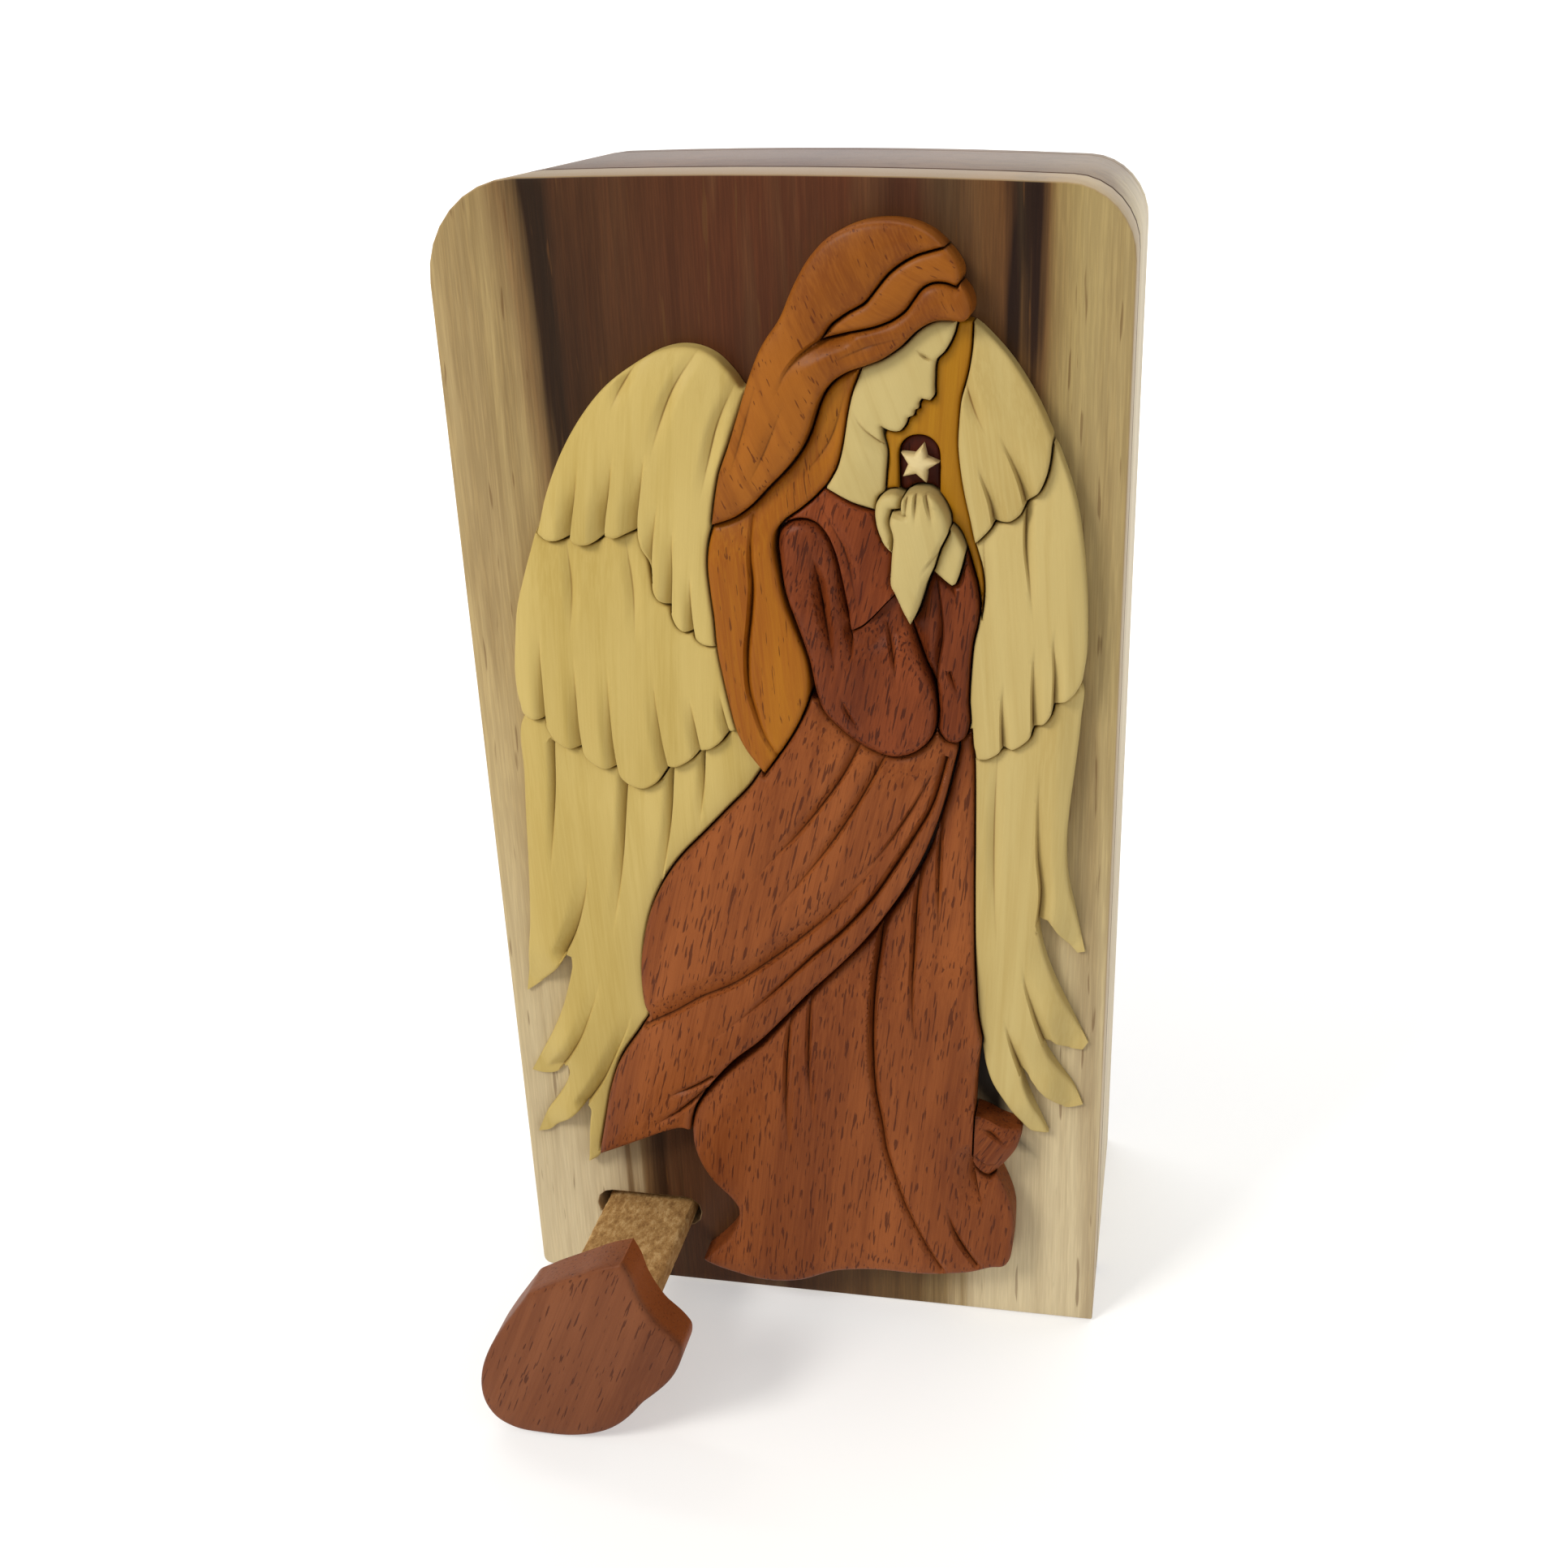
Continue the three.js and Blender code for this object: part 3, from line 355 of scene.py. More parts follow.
def triangles(loop, extra):
    """Triangles that fill an outline through its own points and the extra ones inside."""
    points = np.vstack([loop, extra]) if len(extra) else loop
    count = len(loop)
    edges = [(i, (i + 1) % count) for i in range(count)]
    result = delaunay_2d_cdt([Vector(p) for p in points], edges, [], 1, 1e-5)
    placed = np.array([tuple(v) for v in result[0]])
    origin = [source[0] if source else -1 for source in result[3]]
    if len(placed) != len(points) or sorted(origin) != list(range(len(points))):
        raise RuntimeError("an outline crosses itself or has doubled points")
    return [[origin[i] for i in face] for face in result[2]]


def set_attribute(obj, name, values):
    attribute = obj.data.attributes.new(name, "FLOAT", "POINT")
    attribute.data.foreach_set("value", np.asarray(values, np.float32))


def joints(loop, others):
    """1 where an outline runs against another piece's outline, 0 where it stands free."""
    if not others:
        return np.zeros(len(loop))
    return 1 - smoothstep((distance_to(loop, np.vstack(others)) - TOUCHING) / TOUCH_FADE)


def relief_piece(name, spec, loop, others):
    """One carved piece: a closed solid whose front is the carved surface."""
    low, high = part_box(name)
    back = high.y / MM
    height = back - low.y / MM
    extra = inner_points(loop, spec, spec["grid"])
    points = np.vstack([loop, extra])
    surface, shade, rim = carve(points, loop, height, spec)
    count = len(loop)
    total = len(points)
    # painted shade where the piece meets another: dark on the rim and down the sides
    joint = joints(loop, others)
    joint *= spec["line"] * (1 - 0.8 * flush(loop, spec))
    shade[:count] = np.maximum(shade[:count], joint)
    front = np.column_stack([points[:, 0], back - surface, points[:, 1]])
    rim_height = surface[:count]
    rings = [np.minimum(rim_height - LIP, rim_height * SIDE_ROWS[0]), rim_height * SIDE_ROWS[1], 0]
    sides = [np.column_stack([loop[:, 0], back - np.zeros(count) - ring, loop[:, 1]]) for ring in rings]
    faces = triangles(loop, extra)
    for i in range(count):
        j = (i + 1) % count
        upper = 0
        for ring in range(len(rings)):
            lower = total + ring * count
            faces.append([upper + j, upper + i, lower + i, lower + j])
            upper = lower
    for face in triangles(loop, np.empty((0, 2))):
        faces.append([upper + i for i in reversed(face)])
    obj = mesh_object(name + "_carved", np.vstack([front] + sides) * MM, faces)
    sides_shade = np.concatenate([0.7 * joint, joint, joint])
    set_attribute(obj, "groove", np.concatenate([shade, sides_shade]))
    # painted shade: the rim, and the sides at half strength, take the darker streak tone
    edge = np.clip(1 - rim / RIM_SHADE_REACH, 0, 1)
    set_attribute(obj, "edge", np.concatenate([edge, np.full(len(rings) * count, 0.5)]))
    # side: 1 on walls that face right, which take painted shading in the key's wood
    along = np.roll(loop, -1, 0) - np.roll(loop, 1, 0)
    to_right = np.clip(along[:, 1] / np.maximum(np.hypot(*along.T), 1e-9), 0, 1)
    set_attribute(obj, "side", np.concatenate([np.zeros(total), np.tile(to_right, len(rings))]))
    return obj


def clean_copy(name, suffix):
    """A copy of a CAD node's mesh with its doubled points merged."""
    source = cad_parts[name]
    mesh = bpy.data.meshes.new(name + suffix)
    bm = bmesh.new()
    bm.from_mesh(source.data)
    bmesh.ops.remove_doubles(bm, verts=bm.verts, dist=1e-6)
    bmesh.ops.dissolve_limit(bm, angle_limit=math.radians(0.5), verts=bm.verts, edges=bm.edges)
    bm.to_mesh(mesh)
    bm.free()
    obj = bpy.data.objects.new(name + suffix, mesh)
    bpy.context.scene.collection.objects.link(obj)
    return obj


def smooth_shaded(mesh):
    """Shades a mesh smooth except at its sharp edges."""
    mesh.polygons.foreach_set("use_smooth", [True] * len(mesh.polygons))
    mesh.set_sharp_from_angle(angle=math.radians(SMOOTH_BELOW))


def round_edges(obj, width, segments=3):
    """Eases an object's edges, and applies the result."""
    modifier = obj.modifiers.new("ease", "BEVEL")
    modifier.width = width * MM
    modifier.segments = segments
    modifier.limit_method = "ANGLE"
    modifier.angle_limit = math.radians(40)
    modifier.miter_outer = "MITER_ARC"
    graph = bpy.context.evaluated_depsgraph_get()
    mesh = bpy.data.meshes.new_from_object(obj.evaluated_get(graph))
    obj.modifiers.clear()
    obj.data = mesh
    smooth_shaded(mesh)


def wear(obj, material):
    """Gives an object one material in place of those it has."""
    obj.data.materials.clear()
    obj.data.materials.append(material)


def attach(obj, node, body):
    """Puts an object on its body, in the place of a CAD node."""
    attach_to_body(obj, body)
    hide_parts(node)


# ------------------------------------------------------------------ materials

def linear(rgb):
    """An 8-bit sRGB colour as linear light."""
    out = []
    for channel in rgb:
        c = channel / 255
        out.append(c / 12.92 if c <= 0.04045 else ((c + 0.055) / 1.055) ** 2.4)
    return (*out, 1.0)


class Shader:
    """Small helper that adds and links nodes of one material."""

    def __init__(self, name, roughness, coat=0.0):
        self.material = bpy.data.materials.new(name)
        self.material.use_nodes = True
        self.nodes = self.material.node_tree.nodes
        self.links = self.material.node_tree.links
        self.surface = self.nodes["Principled BSDF"]
        self.surface.inputs["Roughness"].default_value = roughness
        self.surface.inputs["Specular IOR Level"].default_value = SPECULAR
        self.surface.inputs["Coat Weight"].default_value = coat
        self.surface.inputs["Coat Roughness"].default_value = 0.3
        self.coords = self.nodes.new("ShaderNodeTexCoord").outputs["Object"]

    def link(self, source, target):
        self.links.new(source, target)

    def mapped(self, scale, turn=0.0, shift=(0, 0, 0)):
        """Object coordinates, turned about y and scaled; scale is repeats per metre."""
        turned = self.nodes.new("ShaderNodeMapping")
        turned.inputs["Rotation"].default_value = (0, math.radians(turn), 0)
        self.link(self.coords, turned.inputs["Vector"])
        scaled = self.nodes.new("ShaderNodeMapping")
        scaled.inputs["Scale"].default_value = scale
        scaled.inputs["Location"].default_value = shift
        self.link(turned.outputs[0], scaled.inputs["Vector"])
        return scaled.outputs[0]

    def noise(self, vector, detail=3.0, distortion=0.0, rough=0.55):
        node = self.nodes.new("ShaderNodeTexNoise")
        node.inputs["Scale"].default_value = 1.0
        node.inputs["Detail"].default_value = detail
        node.inputs["Roughness"].default_value = rough
        node.inputs["Distortion"].default_value = distortion
        self.link(vector, node.inputs["Vector"])
        return node.outputs["Fac"]

    def ramp(self, factor, stops):
        """A colour ramp from (position, 8-bit colour) stops."""
        node = self.nodes.new("ShaderNodeValToRGB")
        ramp = node.color_ramp
        while len(ramp.elements) < len(stops):
            ramp.elements.new(0.5)
        for element, (position, colour) in zip(ramp.elements, stops):
            element.position = position
            element.color = linear(colour)
        self.link(factor, node.inputs["Fac"])
        return node.outputs["Color"]

    def window(self, factor, low, high):
        """0 below low, 1 above high, smooth between."""
        node = self.nodes.new("ShaderNodeMapRange")
        node.interpolation_type = "SMOOTHSTEP"
        node.inputs["From Min"].default_value = low
        node.inputs["From Max"].default_value = high
        self.link(factor, node.inputs["Value"])
        return node.outputs["Result"]

    def math(self, operation, a, b=None):
        """A math node. b is left out where the operation takes one value."""
        node = self.nodes.new("ShaderNodeMath")
        node.operation = operation
        for socket, value in zip(node.inputs, (a, b)):
            if isinstance(value, (int, float)):
                socket.default_value = value
            elif value is not None:
                self.link(value, socket)
        return node.outputs[0]

    def mix(self, factor, a, b, blend="MIX"):
        node = self.nodes.new("ShaderNodeMix")
        node.data_type = "RGBA"
        node.blend_type = blend
        for socket, value in zip((node.inputs[0], node.inputs[6], node.inputs[7]), (factor, a, b)):
            if isinstance(value, (int, float, tuple)):
                socket.default_value = value
            else:
                self.link(value, socket)
        return node.outputs[2]

    def tint(self, colour, share, amount, other, blend="MIX"):
        """A colour mixed with another, by amount where share is 1."""
        return self.mix(self.math("MULTIPLY", share, amount), colour, other, blend)

    def centred(self, value, reach):
        """A value of 0 to 1 moved to lie round 0, reach from end to end."""
        return self.math("MULTIPLY", self.math("SUBTRACT", value, 0.5), reach)

    def attribute(self, name):
        node = self.nodes.new("ShaderNodeAttribute")
        node.attribute_name = name
        return node.outputs["Fac"]

    def axis(self, vector, name):
        node = self.nodes.new("ShaderNodeSeparateXYZ")
        self.link(vector, node.inputs[0])
        return node.outputs[name]

    def bump(self, height, depth, previous=None, strength=1.0):
        node = self.nodes.new("ShaderNodeBump")
        node.inputs["Distance"].default_value = depth * MM
        node.inputs["Strength"].default_value = strength
        self.link(height, node.inputs["Height"])
        if previous is not None:
            self.link(previous, node.inputs["Normal"])
        return node.outputs[0]

    def finish(self, colour, normal, roughness=None):
        self.link(colour, self.surface.inputs["Base Color"])
        self.link(normal, self.surface.inputs["Normal"])
        if roughness is not None:
            self.link(roughness, self.surface.inputs["Roughness"])
        return self.material


def spread(shader, factor, low, high):
    """A factor of 0 to 1 as a roughness between low and high."""
    node = shader.nodes.new("ShaderNodeMapRange")
    node.inputs["To Min"].default_value = low
    node.inputs["To Max"].default_value = high
    shader.link(factor, node.inputs["Value"])
    return node.outputs["Result"]


# Woods: the main tones, the pores' colour, how many pores (0 is none), the painted shade in cuts and joints,
# the roughness and, for one wood, the painted shading of the sides that face right.
WOODS = {
    "cream": dict(light=(190, 167, 101), dark=(182, 158, 91), streak=(172, 147, 78), pore=(150, 115, 60),
                  pores=0.0, painted_shade=(112, 78, 32), rough=0.50),
    "ivory": dict(light=(190, 170, 112), dark=(183, 161, 102), streak=(174, 150, 90), pore=(150, 115, 60),
                  pores=0.0, painted_shade=(116, 82, 38), rough=0.50),
    "pale": dict(light=(187, 168, 112), dark=(182, 162, 105), streak=(174, 152, 95), pore=(150, 120, 70),
                 pores=0.0, painted_shade=(112, 80, 40), rough=0.48),
    # a lighter copy of the pale wood for the star: painted highlight standing for the light on its arms
    "pale_lit": dict(light=(214, 196, 148), dark=(204, 184, 134), streak=(190, 166, 112),
                   pore=(150, 120, 70), pores=0.0, painted_shade=(112, 80, 40), rough=0.44),
    "hair": dict(light=(150, 88, 24), dark=(131, 73, 17), streak=(112, 57, 12), pore=(84, 36, 8),
                 pores=0.25, painted_shade=(30, 12, 3), rough=0.44),
    "gold": dict(light=(166, 106, 22), dark=(146, 84, 18), streak=(126, 66, 12), pore=(84, 40, 8),
                 pores=0.25, painted_shade=(44, 20, 4), rough=0.44),
    "amber": dict(light=(170, 120, 24), dark=(156, 106, 16), streak=(140, 88, 8), pore=(104, 60, 8),
                  pores=0.0, painted_shade=(70, 40, 6), rough=0.42),
    "dress": dict(light=(142, 78, 36), dark=(122, 63, 26), streak=(102, 48, 18), pore=(66, 26, 9),
                  pores=1.0, painted_shade=(24, 8, 3), rough=0.46),
    "sleeve": dict(light=(128, 62, 28), dark=(106, 48, 18), streak=(82, 33, 11), pore=(52, 17, 6),
                   pores=1.3, painted_shade=(20, 6, 2), rough=0.44),
    "bodice": dict(light=(142, 71, 32), dark=(120, 56, 22), streak=(96, 40, 13), pore=(56, 19, 7),
                   pores=1.1, painted_shade=(24, 8, 2), rough=0.44),
    "key": dict(light=(124, 72, 42), dark=(110, 61, 34), streak=(96, 50, 26), pore=(66, 28, 12),
                # side: painted shading for the walls that face right
                pores=0.6, painted_shade=(24, 8, 3), rough=0.48, side=(150, 76, 26)),
    "dark": dict(light=(84, 32, 14), dark=(68, 24, 10), streak=(54, 16, 6), pore=(34, 10, 4),
                 pores=0.5, painted_shade=(24, 8, 2), rough=0.46),
}


def wood(name, kind, tilt, seed):
    """A lacquered wood. tilt is the grain's lean from vertical in degrees, seed moves the grain."""
    tone = WOODS[kind]
    s = Shader(name, tone["rough"], coat=0.03)
    shift = (seed * 3.7, seed * 1.3, seed * 5.1)
    broad = s.noise(s.mapped((70, 70, 9), tilt, shift), detail=4, distortion=0.6)
    bands = s.noise(s.mapped((420, 420, 14), tilt, shift), detail=3, distortion=0.3)
    fibre = s.noise(s.mapped((2600, 2600, 90), tilt, shift), detail=2)
    colour = s.ramp(broad, [(0.32, tone["streak"]), (0.46, tone["dark"]), (0.62, tone["light"])])
    colour = s.tint(colour, s.window(bands, 0.48, 0.66), 0.45, linear(tone["streak"]))
    colour = s.tint(colour, s.window(fibre, 0.40, 0.66), 0.30, linear(tone["light"]))
    height = fibre
    if tone["pores"] > 0:
        lines = s.noise(s.mapped((3300, 3300, 70), tilt, shift), detail=2)
        colour = s.tint(colour, s.window(lines, 0.50, 0.66), 0.35 * tone["pores"], linear(tone["streak"]))
        dashes = s.noise(s.mapped((2700, 2700, 250), tilt, shift), detail=1.5, rough=0.4)
        edge = 0.69 - 0.08 * tone["pores"]
        pores = s.window(dashes, edge, edge + 0.05)
        colour = s.tint(colour, pores, 0.75, linear(tone["pore"]))
        height = s.math("SUBTRACT", fibre, s.math("MULTIPLY", pores, 1.6))
    # painted shade: cut bottoms and the lines where pieces meet are darkened where shadow falls
    colour = s.tint(colour, s.attribute("groove"), 0.85, linear(tone["painted_shade"]))
    # painted shade: rim and sides darkened towards the streak tone
    blend = s.math("MULTIPLY", s.attribute("edge"), 0.25)
    colour = s.mix(blend, colour, linear(tone["streak"]))
    # painted shading: walls that face right take a warmer tone, for how light falls on them
    if "side" in tone:
        colour = s.tint(colour, s.attribute("side"), 0.55, linear(tone["side"]))
    normal = s.bump(height, 0.03)
    waviness = s.noise(s.mapped((160, 160, 60), tilt, shift), detail=2)
    normal = s.bump(waviness, 0.10, normal)
    roughness = spread(s, fibre, tone["rough"] - 0.08, tone["rough"] + 0.12)
    return s.finish(colour, normal, roughness)


def off_the_flat(shader):
    """0 where the surface faces straight along y, 1 on the edges and sides."""
    along = shader.axis(shader.nodes.new("ShaderNodeTexCoord").outputs["Normal"], "Y")
    flat = shader.window(shader.math("ABSOLUTE", along), 0.8, 0.98)
    return shader.math("SUBTRACT", 1.0, flat)


def seam_shade(shader, colour, amount):
    """The dull brown line between lid and case: painted shade in the seam, its specular turned down."""
    gloss = shader.math("MULTIPLY", shader.math("SUBTRACT", 1.0, amount), SPECULAR)
    shader.link(gloss, shader.surface.inputs["Specular IOR Level"])
    return shader.mix(amount, colour, linear((64, 34, 14)))


def heartwood_panel(name):
    """The front board: a dark brown heart between pale sapwood, its grain upright."""
    s = Shader(name, 0.46, coat=0.03)
    x = s.axis(s.coords, "X")
    z = s.axis(s.coords, "Z")
    down = s.math("SUBTRACT", 1.0, s.math("DIVIDE", z, BOX_HEIGHT * MM))
    wander = s.noise(s.mapped((14, 14, 8)), detail=3)
    wander = s.centred(wander, 0.016)
    ragged = s.noise(s.mapped((260, 260, 7)), detail=3, distortion=0.4)
    ragged = s.centred(ragged, 0.014)
    ragged = s.math("MULTIPLY", ragged, s.math("ADD", 0.7, s.math("MULTIPLY", down, 0.3)))
    centre = s.math("MULTIPLY", down, -0.0035)
    widen = s.math("ADD", 1.0, s.math("MULTIPLY", down, 0.34))
    moved = s.math("ADD", s.math("ADD", x, wander), ragged)
    across = s.math("MULTIPLY", s.math("SUBTRACT", moved, centre), widen)
    factor = s.math("ADD", s.math("DIVIDE", across, 2 * BOX_HALF_WIDTH * MM), 0.5)
    base = s.ramp(factor, [
        (0.00, (172, 150, 106)), (0.08, (158, 136, 92)), (0.11, (122, 96, 62)), (0.145, (40, 24, 10)),
        (0.165, (38, 24, 12)), (0.22, (70, 42, 22)), (0.40, (76, 40, 20)), (0.60, (80, 42, 22)),
        (0.72, (66, 36, 20)), (0.76, (60, 32, 17)), (0.80, (98, 66, 36)), (0.833, (92, 60, 32)),
        (0.843, (34, 18, 10)), (0.853, (38, 21, 11)), (0.864, (98, 70, 40)), (0.89, (126, 102, 62)),
        (0.93, (152, 132, 86)), (1.0, (168, 148, 102))])
    low = s.ramp(factor, [
        (0.00, (168, 148, 106)), (0.07, (158, 138, 98)), (0.11, (132, 108, 74)), (0.15, (98, 72, 46)),
        (0.18, (56, 36, 22)), (0.205, (46, 28, 16)), (0.25, (74, 46, 28)), (0.5, (72, 42, 24)),
        (0.83, (96, 72, 42)), (0.9, (150, 128, 88)), (1.0, (168, 148, 106))])
    base = s.mix(s.window(down, 0.5, 0.8), base, low)
    sap = s.window(s.math("ABSOLUTE", s.math("SUBTRACT", factor, 0.51)), 0.37, 0.42)
    paler = s.math("MULTIPLY", s.math("MULTIPLY", sap, s.window(down, 0.35, 0.95)), 0.7)
    colour = s.mix(paler, base, linear((206, 190, 156)))
    smoke = s.noise(s.mapped((130, 130, 6), 0, (2, 7, 4)), detail=4, distortion=0.8)
    colour = s.tint(colour, s.window(smoke, 0.45, 0.66), 0.5, (0.50, 0.43, 0.38, 1), "MULTIPLY")
    haze = s.noise(s.mapped((100, 100, 9), 0, (9, 3, 1)), detail=3, distortion=0.5)
    colour = s.tint(colour, s.window(haze, 0.52, 0.74), 0.14, linear((150, 126, 84)))
    streaks = s.noise(s.mapped((480, 480, 8)), detail=4, distortion=0.4)
    lines = s.noise(s.mapped((1700, 1700, 18)), detail=3)
    fibre = s.noise(s.mapped((3400, 3400, 130)), detail=2)
    colour = s.tint(colour, s.window(streaks, 0.46, 0.66), 0.24, (0.56, 0.49, 0.42, 1), "MULTIPLY")
    colour = s.tint(colour, s.window(lines, 0.46, 0.66), 0.14, (0.60, 0.52, 0.44, 1), "MULTIPLY")
    colour = s.tint(colour, s.window(fibre, 0.4, 0.7), 0.25, (1.0, 0.95, 0.85, 1), "SOFT_LIGHT")
    flecks = s.noise(s.mapped((1000, 1000, 80), 0, (3, 1, 2)), detail=1.5)
    colour = s.tint(colour, s.window(flecks, 0.66, 0.72), 0.5, linear((90, 58, 28)))
    # painted shade round the relief, fading away from it
    near = s.attribute("near")
    colour = s.tint(colour, near, 0.32, linear((90, 60, 28)))
    # the recess beside the hem: dark heartwood with painted shade over it
    colour = s.tint(colour, s.attribute("gap"), 0.97, linear((20, 11, 8)))
    # painted highlight: eased edges, top and sides paler than the face
    edges = off_the_flat(s)
    colour = s.tint(colour, edges, 0.6, linear((168, 142, 104)))
    # painted shade in the seam, on the lid's back edge
    back_edge = s.window(s.axis(s.coords, "Y"), LID_HIGH.y - SEAM_REACH * MM, LID_HIGH.y)
    colour = seam_shade(s, colour, s.math("MULTIPLY", back_edge, edges))
    normal = s.bump(fibre, 0.03)
    normal = s.bump(s.noise(s.mapped((120, 120, 40)), detail=2), 0.10, normal)
    return s.finish(colour, normal, spread(s, fibre, 0.38, 0.56))


def case_wood(name):
    """The case: pale sapwood at its sides, darker grain across the top and back."""
    s = Shader(name, 0.42, coat=0.05)
    x = s.axis(s.coords, "X")
    wander = s.centred(s.noise(s.mapped((16, 22, 9)), detail=3), 0.014)
    factor = s.math("ADD", s.math("DIVIDE", s.math("ADD", x, wander), 2 * BOX_HALF_WIDTH * MM), 0.5)
    base = s.ramp(factor, [
        (0.0, (196, 178, 136)), (0.08, (160, 138, 98)), (0.14, (84, 60, 40)), (0.3, (98, 70, 50)),
        (0.5, (86, 58, 42)), (0.7, (104, 78, 56)), (0.85, (104, 82, 60)), (0.95, (124, 102, 74)),
        (0.985, (186, 168, 130)), (1.0, (196, 178, 142))])
    streaks = s.noise(s.mapped((330, 330, 8)), detail=4, distortion=0.3)
    fibre = s.noise(s.mapped((2600, 2600, 100)), detail=2)
    colour = s.tint(base, s.window(streaks, 0.46, 0.64), 0.4, (0.55, 0.48, 0.42, 1), "MULTIPLY")
    colour = s.tint(colour, s.window(fibre, 0.4, 0.7), 0.25, (1.0, 0.95, 0.85, 1), "SOFT_LIGHT")
    # painted shade in the seam, on the case's front edge
    behind = s.window(s.axis(s.coords, "Y"), BOX_LOW.y, BOX_LOW.y + SEAM_REACH * MM)
    colour = seam_shade(s, colour, s.math("MULTIPLY", s.math("SUBTRACT", 1.0, behind), off_the_flat(s)))
    normal = s.bump(fibre, 0.03)
    normal = s.bump(s.noise(s.mapped((110, 110, 40)), detail=2), 0.12, normal)
    return s.finish(colour, normal, spread(s, fibre, 0.34, 0.52))


def raw_wood(name, seed):
    """Sawn, unlacquered wood, mottled and a little torn."""
    s = Shader(name, 0.72)
    shift = (seed, 0.3 * seed, 0.7 * seed)
    mottled = s.noise(s.mapped((900, 500, 900), 0, shift), detail=5, rough=0.7)
    blotch = s.noise(s.mapped((170, 60, 170), 0, shift), detail=3)
    specks = s.noise(s.mapped((1900, 900, 1900), 0, shift), detail=3, rough=0.6)
    colour = s.ramp(mottled, [(0.3, (124, 88, 50)), (0.5, (168, 130, 80)), (0.7, (206, 172, 120))])
    colour = s.tint(colour, s.window(blotch, 0.45, 0.7), 0.4, linear((146, 104, 58)))
    colour = s.tint(colour, s.window(specks, 0.64, 0.72), 0.6, linear((78, 54, 30)))
    normal = s.bump(mottled, 0.25)
    return s.finish(colour, normal, spread(s, specks, 0.6, 0.85))


def felt(name):
    """Thin dark red felt."""
    s = Shader(name, 0.95)
    s.surface.inputs["Sheen Weight"].default_value = 0.12
    s.surface.inputs["Sheen Roughness"].default_value = 0.5
    fuzz = s.noise(s.mapped((2400, 2400, 2400)), detail=6, rough=0.75, distortion=1.2)
    patch = s.noise(s.mapped((90, 90, 90)), detail=3)
    colour = s.ramp(fuzz, [(0.3, (60, 12, 18)), (0.55, (96, 22, 30)), (0.75, (122, 36, 42))])
    colour = s.tint(colour, s.window(patch, 0.4, 0.7), 0.3, linear((70, 14, 22)))
    return s.finish(colour, s.bump(fuzz, 0.2))


# ------------------------------------------------------------------ how each piece is carved

def feather(depth, width, *points):
    """A cut between two feathers of the left wing, listed from its tip upwards, fading out at the top."""
    return crease(depth, width, 0.35, *points)


def mirrored_feather(depth, width, *points):
    """The same on the right wing, where the long wall is on the other side."""
    return crease(depth, 0.35, width, *points)


def rib(depth, *points):
    """A wide soft hollow that fades out at both ends."""
    return crease(depth, 1.6, 1.3, *points, start=0.2, end=0.0, peak=0.45)


def fold(depth, left, right, *points, start=0.5, end=0.0, peak=0.3):
    """A cut between two folds of the dress."""
    return crease(depth, left, right, *points, start=start, end=end, peak=peak)


